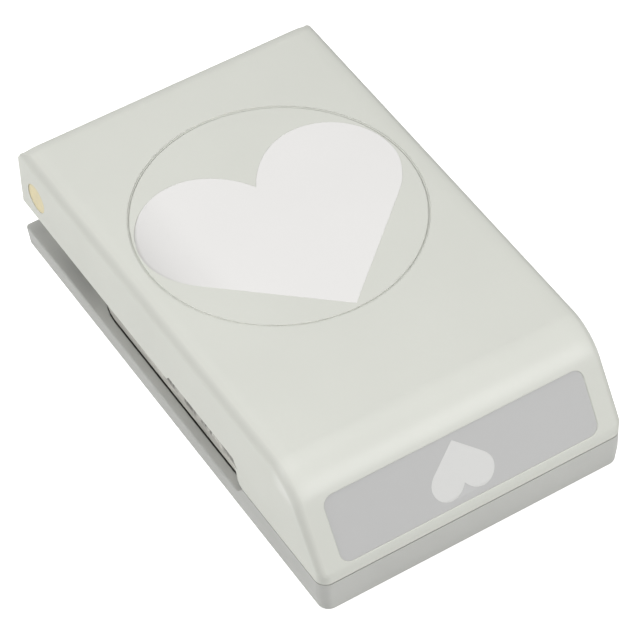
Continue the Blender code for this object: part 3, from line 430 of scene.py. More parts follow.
def heart(width, height, tip, grow=0.0, point_up=False, steps=HEART_STEPS):
    """A heart with its point at tip, as the two Bezier sides of the one that the punch cuts."""
    half = width / 2

    def place(shares):
        return Vector((shares[0] * half, shares[1] * height, 0))

    flank, side, top, cleft = (place(s) for s in (HEART_FLANK_SHARES, HEART_SIDE_SHARES,
                                                  HEART_TOP_SHARES, HEART_CLEFT_SHARES))
    elbow = Vector((side.x, side.x * flank.y / flank.x, 0))
    shoulder = Vector((side.x, top.y, 0))
    middle = Vector((0, top.y, 0))
    right = [Vector((0, 0, 0))]
    right += interpolate_bezier(flank, flank.lerp(elbow, FLANK_HANDLE_SHARE),
                                side.lerp(elbow, FLANK_HANDLE_SHARE), side, steps)
    right += interpolate_bezier(side, side.lerp(shoulder, LOBE_HANDLE_SHARE),
                                top.lerp(shoulder, LOBE_HANDLE_SHARE), top, steps)[1:]
    right += interpolate_bezier(top, top.lerp(middle, CLEFT_TOP_HANDLE_SHARE),
                                cleft + place(HEART_CLEFT_HANDLE_SHARES), cleft, steps)[1:]
    half_outline = [(p.x, p.y) for p in right]
    if grow:
        half_outline = grown_half(half_outline, grow)
    outline = half_outline + mirrored(half_outline)
    turn = -1 if point_up else 1
    return [(tip[0] + turn * x, tip[1] + turn * y) for x, y in outline]


def mesh_of(name, curve, height=0.0):
    """Makes a closed mesh of a curve, at a height, with its faces outwards."""
    made = bpy.data.objects.new(name, curve)
    bpy.context.scene.collection.objects.link(made)
    made.location.z = height
    select_only(made)
    bpy.ops.object.convert(target="MESH")
    made = bpy.context.object
    bpy.ops.object.transform_apply(location=True, rotation=True, scale=True)
    with editing(made):
        bpy.ops.mesh.select_all(action="SELECT")
        bpy.ops.mesh.remove_doubles(threshold=WELD)
        bpy.ops.mesh.normals_make_consistent(inside=False)
    return made


def plate(name, outer, holes, low, high, rim_r, rim_steps=3):
    """A flat plate with softly rounded rims, from a closed outline and its holes."""
    curve = bpy.data.curves.new(name, "CURVE")
    curve.dimensions = "2D"
    curve.fill_mode = "BOTH"
    curve.extrude = (high - low) / 2 - rim_r
    curve.bevel_depth = rim_r
    curve.bevel_resolution = rim_steps
    curve.offset = -rim_r
    for points in [outer] + [hole[::-1] for hole in holes]:
        spline = curve.splines.new("POLY")
        spline.points.add(len(points) - 1)
        for point, (x, y) in zip(spline.points, points):
            point.co = (x, y, 0, 1)
        spline.use_cyclic_u = True
    return mesh_of(name, curve, (low + high) / 2)


def cut_heart(grow):
    """The outline of the heart that the punch cuts, grown all round."""
    return heart(HEART_HIGH.x * 2, HEART_HIGH.y - HEART_LOW.y, (0, HEART_LOW.y), grow)


def die_set_outline(grow=0.0):
    """The outline of the guide plate, and of its seat in the base where it is grown."""
    return rounded_rectangle(GUIDE_HIGH.x, GUIDE_LOW.y, GUIDE_HIGH.y, *DIE_SET_CORNER_RS, grow)


def move_mesh(piece, matrix):
    select_only(piece)
    piece.matrix_world = matrix
    bpy.ops.object.transform_apply(location=True, rotation=True, scale=True)


# Materials

class Value:
    """The output of a node; sums on it add Math nodes."""

    def __init__(self, nodes, socket):
        self.nodes, self.socket = nodes, socket

    def __add__(self, other):
        return self.nodes.maths("ADD", self, other)

    def __sub__(self, other):
        return self.nodes.maths("SUBTRACT", self, other)

    def __rsub__(self, other):
        return self.nodes.maths("SUBTRACT", other, self)

    def __mul__(self, other):
        return self.nodes.maths("MULTIPLY", self, other)

    def __pow__(self, other):
        return self.nodes.maths("POWER", self, other)

    __radd__ = __add__
    __rmul__ = __mul__


class Nodes:
    """The nodes of one material or of the world."""

    def __init__(self, tree):
        self.tree = tree

    def fill(self, node, inputs):
        """Gives a node's inputs their values or the outputs of other nodes."""
        for key, value in inputs.items():
            if isinstance(value, Value):
                self.tree.links.new(value.socket, node.inputs[key])
            else:
                node.inputs[key].default_value = value

    def add(self, kind, settings=None, inputs=None, output=0):
        """Adds a node, with its settings made first and then its inputs."""
        node = self.tree.nodes.new(kind)
        for name, value in (settings or {}).items():
            setattr(node, name, value)
        self.fill(node, inputs or {})
        return Value(self, node.outputs[output])

    def maths(self, operation, *inputs):
        return self.add("ShaderNodeMath", {"operation": operation}, dict(enumerate(inputs)))


class Finish(Nodes):
    """One material for the object's pieces, on Object coordinates."""

    def __init__(self, name):
        self.material = bpy.data.materials.new(name)
        self.material.use_nodes = True
        super().__init__(self.material.node_tree)
        self.place = self.add("ShaderNodeTexCoord", output="Object")

    def noise(self, size, detail=2.0, place=None, roughness=0.5):
        return self.add("ShaderNodeTexNoise", None,
                        {"Vector": place or self.place, "Scale": 1 / size, "Detail": detail,
                         "Roughness": roughness})

    def mapped(self, scale, location=(0, 0, 0)):
        return self.add("ShaderNodeMapping", None,
                        {"Vector": self.place, "Location": location, "Scale": scale})

    def axis(self, name, vector=None):
        return self.add("ShaderNodeSeparateXYZ", None, {0: vector or self.place}, output=name)

    def sideways(self):
        """How far the surface faces to the left or right: 1 on a side wall and 0 on top."""
        across = self.axis("X", self.add("ShaderNodeTexCoord", output="Normal"))
        return across * across

    def turn_over(self):
        """1 half way round an edge that runs along the piece, and 0 on its flat faces."""
        square = self.sideways()
        return self.between(square * (1 - square) * 4, 0.05, 1.0) ** 0.7

    def on_bend(self):
        """1 on the lever's bend, 0 on its flat top and lower down on its sloping front."""
        forward = self.between(self.axis("Y"), BEND_START_Y, BEND_START_Y - POLISH_FADE_Y)
        above = self.between(self.axis("Z"), BEND_END_Z - POLISH_FADE_Z, BEND_END_Z)
        return forward * above

    def along_groove(self):
        """1 in the middle of the groove round the disc, fading to 0 beside it."""
        off = self.length(self.mapped((1, 1, 0), (0, -DISC_Y, 0))) - GROOVE_MIDDLE_R
        return self.between(off * off, GROOVE_SHADE_HALF ** 2, 0)

    def length(self, vector):
        return self.add("ShaderNodeVectorMath", {"operation": "LENGTH"}, {0: vector}, "Value")

    def between(self, value, low, high):
        """Spreads a value from low..high over 0..1, and stops there."""
        return self.add("ShaderNodeMapRange", {"clamp": True},
                        {"Value": value, "From Min": low, "From Max": high})

    def mixed(self, factor, colour_a, colour_b):
        return self.add("ShaderNodeMix", {"data_type": "RGBA", "blend_type": "MIX"},
                        {0: factor, 6: with_alpha(colour_a), 7: with_alpha(colour_b)}, output=2)

    def shades(self, value, low, high, colour, dark, pale):
        """Goes from a darker to a paler shade of a colour as a value goes from low to high."""
        return self.mixed(self.between(value, low, high), shade_of(colour, dark),
                          shade_of(colour, pale))

    def toned(self, tint, mask, colour, factor):
        """Goes over from a tint to a shade of its colour where a mask is 1."""
        return self.mixed(mask, tint, shade_of(colour, factor))

    def bump(self, height, distance, strength=1.0, normal=None):
        inputs = {"Height": height, "Distance": distance, "Strength": strength}
        if normal:
            inputs["Normal"] = normal
        return self.add("ShaderNodeBump", None, inputs)

    def set(self, **values):
        """Fills the shader's inputs; an underscore in a name stands for a space."""
        self.fill(self.tree.nodes["Principled BSDF"],
                  {key.replace("_", " "): value for key, value in values.items()})
        return self.material


def with_alpha(colour):
    return colour if isinstance(colour, Value) else (*colour, 1.0)


def shade_of(colour, factor):
    return tuple(channel * factor for channel in colour)


# The sizes of the patterns in the finishes, and the depths of their bumps
CLOUD_SIZE = 0.028
SPECK_SIZE = 0.0009
WAVE_SIZE = 0.02
WAVE_DEPTH = 0.00002
SHEEN_SIZE = 0.011
COARSE_GRAINS = 3.4     # times the size of the fine ones
MARK_SIZE = 0.0002
MARK_DEPTH = 0.000004
METAL_CLOUD_SIZE = 0.006
CAST_GRAIN_SIZE = 0.0007
STREAK_SIZE = 0.0035
STREAK_SCALE = (1.0, 0.35, 1.6)
CAST_DEPTH = 0.00012
SHADOW_PATCH_SIZE = 0.0045
SHADOW_PATCH_SCALE = (1.0, 1.0, 0.4)
# Painted shadow fades in between these two depths below the guide's upper edge
SHADOW_FOOT = (0.0026, 0.0014)       # below the upper edge, where the dark flash fades in
SHADOW_HEAD = (0.00002, 0.0003)
PIN_CLOUD_SIZE = 0.0022
PIN_DEPTH = 0.000003
TURNING_MARKS = 21000
PAINTED_SHADE_FACTOR = 0.5
POLISH_ROUGHNESS = 0.3
POLISH_FADE_Y = 0.004
POLISH_FADE_Z = 0.002


def moulded_plastic(name, colour, roughness, grain=0.00028, depth=0.000012, cloud=0.012, gloss=0.5,
                    painted_edge_shade=0.0, painted_side_shade=0.0, painted_groove_shade=0.0, bend_polish=0.0,
                    painted_shade_from=None):
    """Injection moulded plastic: a spark-eroded grain, faint flow clouds and uneven sheen.

    Painted shade makes pieces a little darker where their long edges turn over, on their side
    walls and along the groove, the lever's bend is polished by the palm, and painted shade makes
    the heart inlay a little darker from a place on X towards its left edge.
    """
    finish = Finish(name)
    clouds, specks = finish.noise(CLOUD_SIZE, 3.0), finish.noise(SPECK_SIZE)
    tint = finish.shades(clouds, 0.35, 0.65, colour, 1 - cloud, 1 + cloud)
    tint = finish.toned(tint, finish.between(specks, 0.3, 0.75) * 0.35, colour, 0.985)
    # Painted shade: darker where the long edges turn over, standing in for the shading of the
    # crease
    if painted_edge_shade:
        tint = finish.toned(tint, finish.turn_over() * painted_edge_shade, colour, PAINTED_SHADE_FACTOR)
    if painted_side_shade:
        # Painted shade: the side walls are darkened as if less light fell on them
        walls = finish.between(finish.sideways(), 0.85, 0.97)
        tint = finish.toned(tint, walls * painted_side_shade, colour, PAINTED_SHADE_FACTOR)
    # Painted shade: a darker band along the groove, standing in for the groove's shading
    if painted_groove_shade:
        tint = finish.toned(tint, finish.along_groove() * painted_groove_shade, colour, PAINTED_SHADE_FACTOR)
    if bend_polish:
        finish.set(Coat_Weight=finish.on_bend() * bend_polish, Coat_Roughness=POLISH_ROUGHNESS)
    # Painted shade: the inlay darkens from a place on X towards its left edge
    if painted_shade_from:
        lobe_shade = finish.between(finish.axis("X"), painted_shade_from, -HEART_WIDTH / 2) ** 1.6
        tint = finish.toned(tint, lobe_shade * 0.44, colour, PAINTED_SHADE_FACTOR)
    height = finish.noise(grain) * 0.65 + finish.noise(grain * COARSE_GRAINS) * 0.35
    normal = finish.bump(finish.noise(WAVE_SIZE, 1.0), WAVE_DEPTH, 0.6)
    normal = finish.bump(height, depth, 1.0, normal)
    sheen = finish.between(finish.noise(SHEEN_SIZE, 3.0), 0.3, 0.7)
    return finish.set(Base_Color=tint, Roughness=sheen * 0.06 + (roughness - 0.03), Normal=normal,
                      Specular_IOR_Level=gloss)


def metal(name, colour, roughness, stretch=(1, 1, 1), cloud=0.05):
    """Machined or plated metal with fine marks, drawn out along the axes with small stretch."""
    finish = Finish(name)
    marks = finish.noise(MARK_SIZE, 4.0, finish.mapped(stretch))
    clouds = finish.noise(METAL_CLOUD_SIZE, 3.0)
    tint = finish.shades(clouds, 0.3, 0.7, colour, 1 - cloud, 1 + cloud)
    sheen = finish.between(marks, 0.25, 0.75) * 0.14 + (roughness - 0.07)
    return finish.set(Base_Color=tint, Roughness=sheen, Metallic=1.0,
                      Normal=finish.bump(marks, MARK_DEPTH))


def cast_metal(name, colour, top_z):
    """Die-cast light alloy: a grainy streaked skin, and painted shadow in patches below its upper
    edge.
    """
    finish = Finish(name)
    grains = finish.noise(CAST_GRAIN_SIZE, 4.0, roughness=0.65)
    streaks = finish.noise(STREAK_SIZE, 4.0, finish.mapped(STREAK_SCALE), 0.6)
    tint = finish.shades(streaks, 0.42, 0.6, colour, 0.72, 1.12)
    tint = finish.toned(tint, finish.between(grains, 0.35, 0.6) * 0.6, colour, 0.8)
    rise = finish.axis("Z")
    # Painted shadow: dark patches in a band below the upper edge, where the lid's lower edge
    # shades the casting
    below_edge = (finish.between(rise, *(top_z - depth for depth in SHADOW_FOOT))
                  * finish.between(rise, *(top_z - depth for depth in SHADOW_HEAD)))
    painted_shadow = finish.noise(SHADOW_PATCH_SIZE, 5.0, finish.mapped(SHADOW_PATCH_SCALE), 0.7)
    dark = below_edge * finish.between(painted_shadow, 0.44, 0.56) * 0.85
    tint = finish.toned(tint, dark, colour, 0.16)
    rough = finish.between(grains, 0.3, 0.7) * 0.2 + 0.42
    return finish.set(Base_Color=tint, Roughness=rough, Metallic=0.7,
                      Normal=finish.bump(grains * 0.7 + streaks * 0.3, CAST_DEPTH))


def pin_finish(name, colour):
    """Yellow-passivated pin end with faint turning marks round its axis."""
    finish = Finish(name)
    radius = finish.length(finish.mapped((0, 1, 1), (0, -HINGE_Y, -HINGE_Z)))
    rings = finish.maths("SINE", radius * TURNING_MARKS)
    clouds = finish.noise(PIN_CLOUD_SIZE, 3.0)
    return finish.set(Base_Color=finish.shades(clouds, 0.35, 0.65, colour, 0.93, 1.05),
                      Roughness=finish.between(clouds, 0.3, 0.7) * 0.12 + 0.36,
                      Metallic=0.25, Normal=finish.bump(rings + clouds * 2, PIN_DEPTH))


LEVER_GREY = (0.69, 0.70, 0.645)
LENGTHWAYS = (1, 0.08, 1)
# The lever plastic carries painted shade along its turned-over edges and round the groove
LEVER_PLASTIC = moulded_plastic("lever_plastic", LEVER_GREY, 0.58, gloss=0.32, painted_edge_shade=0.3,
                                painted_groove_shade=0.06, bend_polish=0.5)
# Painted shade round the groove darkens the disc plastic
DISC_PLASTIC = moulded_plastic("disc_plastic", LEVER_GREY, 0.58, gloss=0.32, painted_groove_shade=0.06)
# Painted shade darkens the inlay plastic towards its left edge
INLAY_PLASTIC = moulded_plastic("inlay_plastic", (0.835, 0.825, 0.81), 0.34, grain=0.0004,
                                depth=0.000005, cloud=0.006, painted_shade_from=-0.02)
PANEL_PLASTIC = moulded_plastic("panel_plastic", (0.53, 0.53, 0.525), 0.5, grain=0.0002,
                                depth=0.000006, cloud=0.008)
PANEL_HEART_PLASTIC = moulded_plastic("panel_heart_plastic", (0.72, 0.72, 0.705), 0.5,
                                      grain=0.0002, depth=0.000005, cloud=0.006)
# The base plastic carries painted shade along its turned-over edges and on its side walls
BASE_PLASTIC = moulded_plastic("base_plastic", (0.512, 0.516, 0.49), 0.5, grain=0.0003,
                               depth=0.000014, cloud=0.02, painted_edge_shade=0.22, painted_side_shade=0.24)
LOCK_PLASTIC = moulded_plastic("lock_plastic", (0.1, 0.1, 0.098), 0.45)
TOOL_STEEL = metal("ground_steel", (0.58, 0.57, 0.55), 0.32, LENGTHWAYS)
DIE_STEEL = metal("oiled_die_steel", (0.16, 0.155, 0.15), 0.4, LENGTHWAYS)
SCREW_STEEL = metal("zinc_steel", (0.62, 0.62, 0.62), 0.3)
SPRING_STEEL = metal("spring_wire", (0.5, 0.5, 0.5), 0.28)
GUIDE_METAL = cast_metal("cast_alloy", (0.63, 0.62, 0.575), GUIDE_HIGH.z)
PIN_METAL = pin_finish("pin_yellow", (0.63, 0.55, 0.32))


# Base

def drop_behind(piece, start, fall, from_z, to_z, radius, segments):
    """Lowers or raises a level edge of a block behind a place along Y, with rounded corners."""
    with editing(piece):
        bisect((0, start, 0), (0, 1, 0))
        bisect((0, start + fall, 0), (0, 1, 0))
        choose("VERT", lambda vert: lies(vert, z=from_z) and vert.co.y > start + fall - NEAR)
        bpy.ops.transform.translate(value=(0, 0, to_z - from_z))
        bpy.ops.mesh.select_all(action="SELECT")
        bpy.ops.mesh.dissolve_limited(angle_limit=FLAT_ANGLE)
        choose("EDGE", lambda edge: lies(edge, y=start, z=from_z)
               or lies(edge, y=start + fall, z=to_z))
        bevel(radius * math.tan(math.atan2(abs(to_z - from_z), fall) / 2), segments)


def is_top_rim(edge):
    ups = [face.normal.z > UPWARDS for face in edge.link_faces]
    return len(ups) == 2 and ups[0] != ups[1]


def round_top(piece, radius, segments):
    """Rounds the edges between a block's upper surface and its sides."""
    with editing(piece):
        choose("EDGE", is_top_rim)
        bevel(radius, segments)


def front_rim():
    """The higher front part of the base, which falls to the ledge behind it."""
    buried_z = LEDGE_Z - LEDGE_EDGE_R
    fall = RIM_FALL * (RIM_Z - buried_z) / (RIM_Z - LEDGE_Z)
    end_y = FRONT_Y + RIM_LENGTH + fall + OVERRUN
    rim = block("front_rim", (-HALF_WIDTH, FRONT_Y, RIM_ROOT_Z), (HALF_WIDTH, end_y, RIM_Z))
    drop_behind(rim, FRONT_Y + RIM_LENGTH, fall, RIM_Z, buried_z, RIM_FALL_R, segments=6)
    round_corners(rim, (FRONT_Y, BASE_CORNER_RS[0]))
    round_top(rim, RIM_EDGE_R, segments=3)
    return rim


def ear(side):
    """One hinge ear: a block with a round head, whose front leans back above its foot."""
    outer = HALF_WIDTH - EAR_INSET
    low_x, high_x = sorted((side * outer, side * (outer - EAR_THICKNESS)))
    made = block("ear", (low_x, HINGE_Y - EAR_FOOT, DECK_UNDERSIDE_Z + GAP),
                 (high_x, HINGE_Y + EAR_NECK, HINGE_Z))
    with editing(made):
        choose("VERT", lambda vert: lies(vert, z=HINGE_Z, y=HINGE_Y - EAR_FOOT))
        bpy.ops.transform.translate(value=(0, EAR_FOOT - EAR_R, 0))
    join(made, bar("ear_head", ((low_x + high_x) / 2, HINGE_Y, HINGE_Z), EAR_R,
                   high_x - low_x, "X"))
    return made


def make_base():
    base = block("base_body", (-HALF_WIDTH, FRONT_Y, 0), (HALF_WIDTH, BACK_Y, LEDGE_Z))
    round_corners(base, *zip((FRONT_Y, BACK_Y), BASE_CORNER_RS))
    with editing(base):
        choose("EDGE", lambda edge: lies(edge, z=0))
        bevel(BASE_FOOT_R, segments=3)
    round_top(base, LEDGE_EDGE_R, segments=5)
    join(base, front_rim())
    lean = (HALF_WIDTH - BASE_DRAFT) / HALF_WIDTH
    with editing(base):
        choose("VERT", lambda vert: vert.co.z < LEDGE_Z / 2)
        bpy.ops.transform.resize(value=(lean, 1, 1), center_override=(0, 0, 0))
    inner_x = HALF_WIDTH - BASE_WALL
    front, back = FRONT_Y + BASE_WALL, BACK_Y - BASE_WALL
    divide_front, divide_back = GUIDE_LOW.y - BASE_WALL, GUIDE_HIGH.y + BASE_WALL
    over = RIM_Z + OVERRUN
    low_x = inner_x - BASE_DRAFT
    shelf_underside = SHELF_Z - SHELF_THICKNESS
    cut(base, rounded_block("well", (-inner_x, front, LEDGE_Z), (inner_x, GUIDE_LOW.y, over),
                            WELL_CORNER_R))
    cut(base, plate("die_seat", die_set_outline(SEAT_GAP), [], SHELF_Z, over, 0))
    for name, low_y, high_y, top in (("pocket_front", front, divide_front, DECK_UNDERSIDE_Z),
                                     ("pocket_middle", GUIDE_LOW.y, GUIDE_HIGH.y, shelf_underside),
                                     ("pocket_back", divide_back, back, DECK_UNDERSIDE_Z)):
        cut(base, rounded_block(name, (-low_x, low_y, -OVERRUN), (low_x, high_y, top),
                                POCKET_CORNER_R))
    cut(base, plate("window", cut_heart(WINDOW_MARGIN), [], -OVERRUN, LEDGE_Z, 0))
    for index in range(1, 5):
        centre = centre_of(f"die_screw_{index}")
        cut(base, bar("screw_hole", (centre.x, centre.y, SHELF_Z), SCREW_HOLE_R, LEDGE_Z,
                      sides=24))
    cut(base, block("lock_slot", (-LOCK_SLOT_HALF, LOCK_Y - LOCK_SLOT_HALF - LOCK_TRAVEL, 0),
                    (LOCK_SLOT_HALF, LOCK_Y + LOCK_SLOT_HALF, RIM_Z)))
    for side in (-1, 1):
        join(base, ear(side))
    cut(base, bar("ear_bore", (0, HINGE_Y, HINGE_Z), EAR_BORE_R, 2 * HALF_WIDTH, "X"))
    smooth(base)
    seat(base, BASE_PLASTIC, "base", "base_plastic", "base_tray")


# Lever

def slope_y(z, inwards=0.0):
    """Where the sloping front, or a wall's thickness behind it, lies at a height."""
    return FRONT_Y + (z - FOOT_Z - LIP_HEIGHT) / math.tan(SLOPE) + inwards / math.sin(SLOPE)


def lever_edge_r(edge):
    """How far an edge of the plain lever block is rounded."""
    places = [vert.co for vert in edge.verts]
    level = abs(places[0].x - places[1].x) > NEAR
    lowest = min(place.z for place in places)
    behind = min(place.y for place in places) > BACK_Y - NEAR
    in_front = max(place.y for place in places) < FRONT_Y + NEAR
    if level:
        if behind and lowest > TOP_Z - NEAR:
            return BACK_TOP_R
        return LIP_R if in_front and lowest > FOOT_Z + LIP_HEIGHT - NEAR else 0
    if behind:
        return BACK_CORNER_R
    if in_front:
        return FRONT_CORNER_R
    return TOP_SIDE_R if max(place.z for place in places) > SIDE_EDGE_Z + NEAR else 0


def lever_block():
    """The lever's outer shape: a block with a sloping front, a bend, a foot and rounded edges."""
    lever = block("lever_housing", LEVER_LOW, LEVER_HIGH)
    with editing(lever):
        bisect((0, FRONT_Y, FOOT_Z + LIP_HEIGHT), SLOPE_NORMAL, clear=True)
    drop_behind(lever, FRONT_Y + FOOT_LENGTH, FOOT_RISE, FOOT_Z, SIDE_EDGE_Z, FOOT_R, segments=8)
    with editing(lever):
        choose("EDGE", lambda edge: lies(edge, y=slope_y(TOP_Z), z=TOP_Z))
        bevel(BEND_LENGTH, BEND_STEPS)
    round_edges(lever, lever_edge_r, BACK_TOP_R, EDGE_STEPS)
    crown(lever)
    return lever


def crown(lever):
    """Lets the lever's upper surface fall away a little towards its two long edges."""
    with editing(lever):
        for place in CROWN_CUTS:
            bisect((place, 0, 0), (1, 0, 0))
            bisect((-place, 0, 0), (1, 0, 0))
    for vert in lever.data.vertices:
        out = max(0, abs(vert.co.x) - CROWN_START) / (HALF_WIDTH - CROWN_START)
        height = min(1, max(0, (vert.co.z - CROWN_FOOT_Z) / CROWN_RISE))
        vert.co.z -= CROWN_FALL * out * out * height


def lever_cavity():
    inner_x, inner_back = HALF_WIDTH - WALL, BACK_Y - WALL
    low_z, roof_z = FOOT_Z - OVERRUN, TOP_Z - ROOF
    cavity = block("cavity", (-inner_x, FRONT_Y, low_z), (inner_x, inner_back, roof_z))
    with editing(cavity):
        bisect((0, slope_y(low_z, FRONT_WALL), low_z), SLOPE_NORMAL, clear=True)
        choose("EDGE", lambda edge: lies(edge, y=slope_y(roof_z, FRONT_WALL), z=roof_z))
        bevel((BEND_R - FRONT_WALL) * math.tan(SLOPE / 2), CAVITY_BEND_STEPS)
        choose("EDGE", lambda edge: lies(edge, y=inner_back, z=roof_z))
        bevel(INNER_R, CAVITY_BACK_STEPS)
    return cavity


def slope_matrix():
    """The placing of the sloping front: X across, Y up the slope from the lip, Z out of it."""
    axes = Matrix(((1, 0, 0), (0, math.cos(SLOPE), math.sin(SLOPE)), SLOPE_NORMAL))
    lip_edge = Matrix.Translation((0, FRONT_Y, FOOT_Z + LIP_HEIGHT))
    return lip_edge @ axes.transposed().to_4x4()


def card_relief(side):
    """Cuts one side wall's lower edge a little higher over the card slot, with ramped ends."""
    outer, inner = HALF_WIDTH + OVERRUN, HALF_WIDTH - WALL - OVERRUN
    low_x, high_x = sorted((side * outer, side * inner))
    low_z, high_z = SIDE_EDGE_Z - OVERRUN, SIDE_EDGE_Z + RELIEF_HEIGHT
    relief = block("card_relief", (low_x, RELIEF_YS[0], low_z), (high_x, RELIEF_YS[1], high_z))
    with editing(relief):
        for end, inwards in zip(RELIEF_YS, (1, -1)):
            choose("VERT", lambda vert: lies(vert, y=end, z=high_z))
            bpy.ops.transform.translate(value=(0, inwards * RELIEF_RAMP, 0))
    return relief


def disc_bar(name, middle_z, radius, height):
    """A bar on the axis of the disc."""
    return bar(name, (0, DISC_Y, middle_z), radius, height, sides=DISC_SIDES)


def panel_pocket():
    outline = rounded_rectangle(PANEL_HALF_X, PANEL_LOW, PANEL_HIGH, PANEL_R, PANEL_R)
    pocket = plate("panel_pocket", outline, [], -PANEL_POCKET_DEPTH, OVERRUN, 0)
    move_mesh(pocket, slope_matrix())
    return pocket


def make_lever():
    lever = lever_block()
    cut(lever, lever_cavity(), card_relief(-1), card_relief(1))
    well_floor = DISC_LOW.z - GAP
    boss_low, boss_high = well_floor - BOSS_FLOOR, TOP_Z - ROOF / 2
    join(lever, disc_bar("boss", (boss_low + boss_high) / 2, BOSS_R, boss_high - boss_low))
    cut(lever, disc_bar("well", (well_floor + TOP_Z + OVERRUN) / 2, WELL_R,
                        TOP_Z + OVERRUN - well_floor))
    cut(lever, disc_bar("groove", TOP_Z, GROOVE_OUTER_R, 2 * GROOVE_DEPTH))
    for side in (-1, 1):
        low_x, high_x = side * RIB_X - RIB_HALF_THICKNESS, side * RIB_X + RIB_HALF_THICKNESS
        join(lever, block("rod_rib", (low_x, ROD_Y - RIB_HALF_LENGTH, ROD_Z - RIB_DEPTH),
                          (high_x, ROD_Y + RIB_HALF_LENGTH, well_floor - BOSS_FLOOR / 2)))
    cut(lever, bar("saddle", (0, ROD_Y, ROD_Z), SADDLE_R, SADDLE_LENGTH, "X"))
    join(lever, block("catch", (-CATCH_HALF_X, FRONT_Y + WALL / 2, CATCH_ZS[0]),
                      (CATCH_HALF_X, FRONT_Y + CATCH_LENGTH, CATCH_ZS[1])))
    cut(lever, panel_pocket())
    cut(lever, bar("pin_bore", (0, HINGE_Y, HINGE_Z), PIN_BORE_R, 2 * HALF_WIDTH + OVERRUN, "X"))
    to_slope = slope_matrix().inverted()

    def rim_r(edge):
        if lies(edge, z=TOP_Z) and on_circle(edge, GROOVE_OUTER_R):
            return GROOVE_EDGE_R
        places = [to_slope @ vert.co for vert in edge.verts]
        if not all(on_panel_rim(place) for place in places):
            return 0
        rise = (sum(place.y for place in places) / 2 - PANEL_LOW) / PANEL_R
        return PANEL_LOW_RIM_R + (PANEL_RIM_R - PANEL_LOW_RIM_R) * min(1, rise)

    round_edges(lever, rim_r, PANEL_RIM_R, segments=5)
    smooth(lever)
    seat(lever, LEVER_PLASTIC, "lever", "lever_plastic", "lever_shell")


def on_circle(edge, radius):
    """True for an edge whose ends lie on a circle round the axis of the disc."""
    return all(abs(math.hypot(vert.co.x, vert.co.y - DISC_Y) - radius) < 3 * NEAR
               for vert in edge.verts)


def on_panel_rim(place):
    """True for a place on the pocket's outline in the plane of the sloping front."""
    if abs(place.z) > NEAR:
        return False
    corner_x, corner_y = PANEL_HALF_X - PANEL_R, (PANEL_HIGH - PANEL_LOW) / 2 - PANEL_R
    out_x = max(abs(place.x) - corner_x, 0)
    out_y = max(abs(place.y - (PANEL_LOW + PANEL_HIGH) / 2) - corner_y, 0)
    return abs(math.hypot(out_x, out_y) - PANEL_R) < 5 * NEAR


def make_disc():
    top, tip = DISC_HIGH.z, (0, HEART_TIP_Y)
    flange_z = top - GROOVE_DEPTH
    disc = disc_bar("round_disc", (DISC_LOW.z + flange_z) / 2, DISC_R, flange_z - DISC_LOW.z)
    join(disc, disc_bar("disc_face", flange_z, DISC_FACE_R, 2 * GROOVE_DEPTH))
    with editing(disc):
        bisect((0, 0, 0), (1, 0, 0))
    pocket = heart(HEART_WIDTH, HEART_HEIGHT, tip, HEART_GAP)
    cut(disc, plate("pocket", pocket, [], DISC_LOW.z - OVERRUN, top + OVERRUN, 0))

    def disc_rim_r(edge):
        return GROOVE_EDGE_R if lies(edge, z=top) and on_circle(edge, DISC_FACE_R) else 0

    round_edges(disc, disc_rim_r, GROOVE_EDGE_R, segments=4)
    smooth(disc)
    seat(disc, DISC_PLASTIC, "lever", "lever_plastic", "shape_disc")
    inlay = plate("heart_cover", heart(HEART_WIDTH, HEART_HEIGHT, tip), [],
                  top - INLAY_THICKNESS, top, HEART_RIM_R)
    dip_left_lobe(inlay)
    smooth(inlay)
    seat(inlay, INLAY_PLASTIC, "lever", "inlay_plastic", "heart_inlay")


def dip_left_lobe(inlay):
    """Lets the inlay's left lobe lie a little deeper in its pocket, as in the photo."""
    with editing(inlay):
        for step in range(LOBE_DIP_STEPS):
            place = -LOBE_DIP_START - LOBE_DIP_LENGTH * step / LOBE_DIP_STEPS
            bisect((place, 0, 0), (1, 0, 0))
    for vert in inlay.data.vertices:
        share = min(1, max(0, (-vert.co.x - LOBE_DIP_START) / LOBE_DIP_LENGTH))
        vert.co.z -= LOBE_DIP * share * share * (3 - 2 * share)


def make_panel():
    outline = rounded_rectangle(PANEL_HALF_X, PANEL_LOW, PANEL_HIGH, PANEL_R, PANEL_R, -NEAR)
    figure = (PANEL_HEART_WIDTH, PANEL_HEART_HEIGHT, PANEL_HEART_TIP)
    panel = plate("front_plate", outline, [heart(*figure, NEAR, point_up=True)],
                  -PANEL_SINK - PANEL_THICKNESS, -PANEL_SINK, PANEL_EDGE_R, rim_steps=1)
    small = plate("front_heart", heart(*figure, 0, point_up=True), [],
                  -PANEL_SINK - PANEL_HEART_THICKNESS, -PANEL_SINK, PANEL_EDGE_R, rim_steps=1)
    for piece in (panel, small):
        move_mesh(piece, slope_matrix())
        smooth(piece)
    seat(panel, PANEL_PLASTIC, "lever", "panel_plastic", "front_panel")
    seat(small, PANEL_HEART_PLASTIC, "lever", "panel_heart_plastic", "panel_heart")


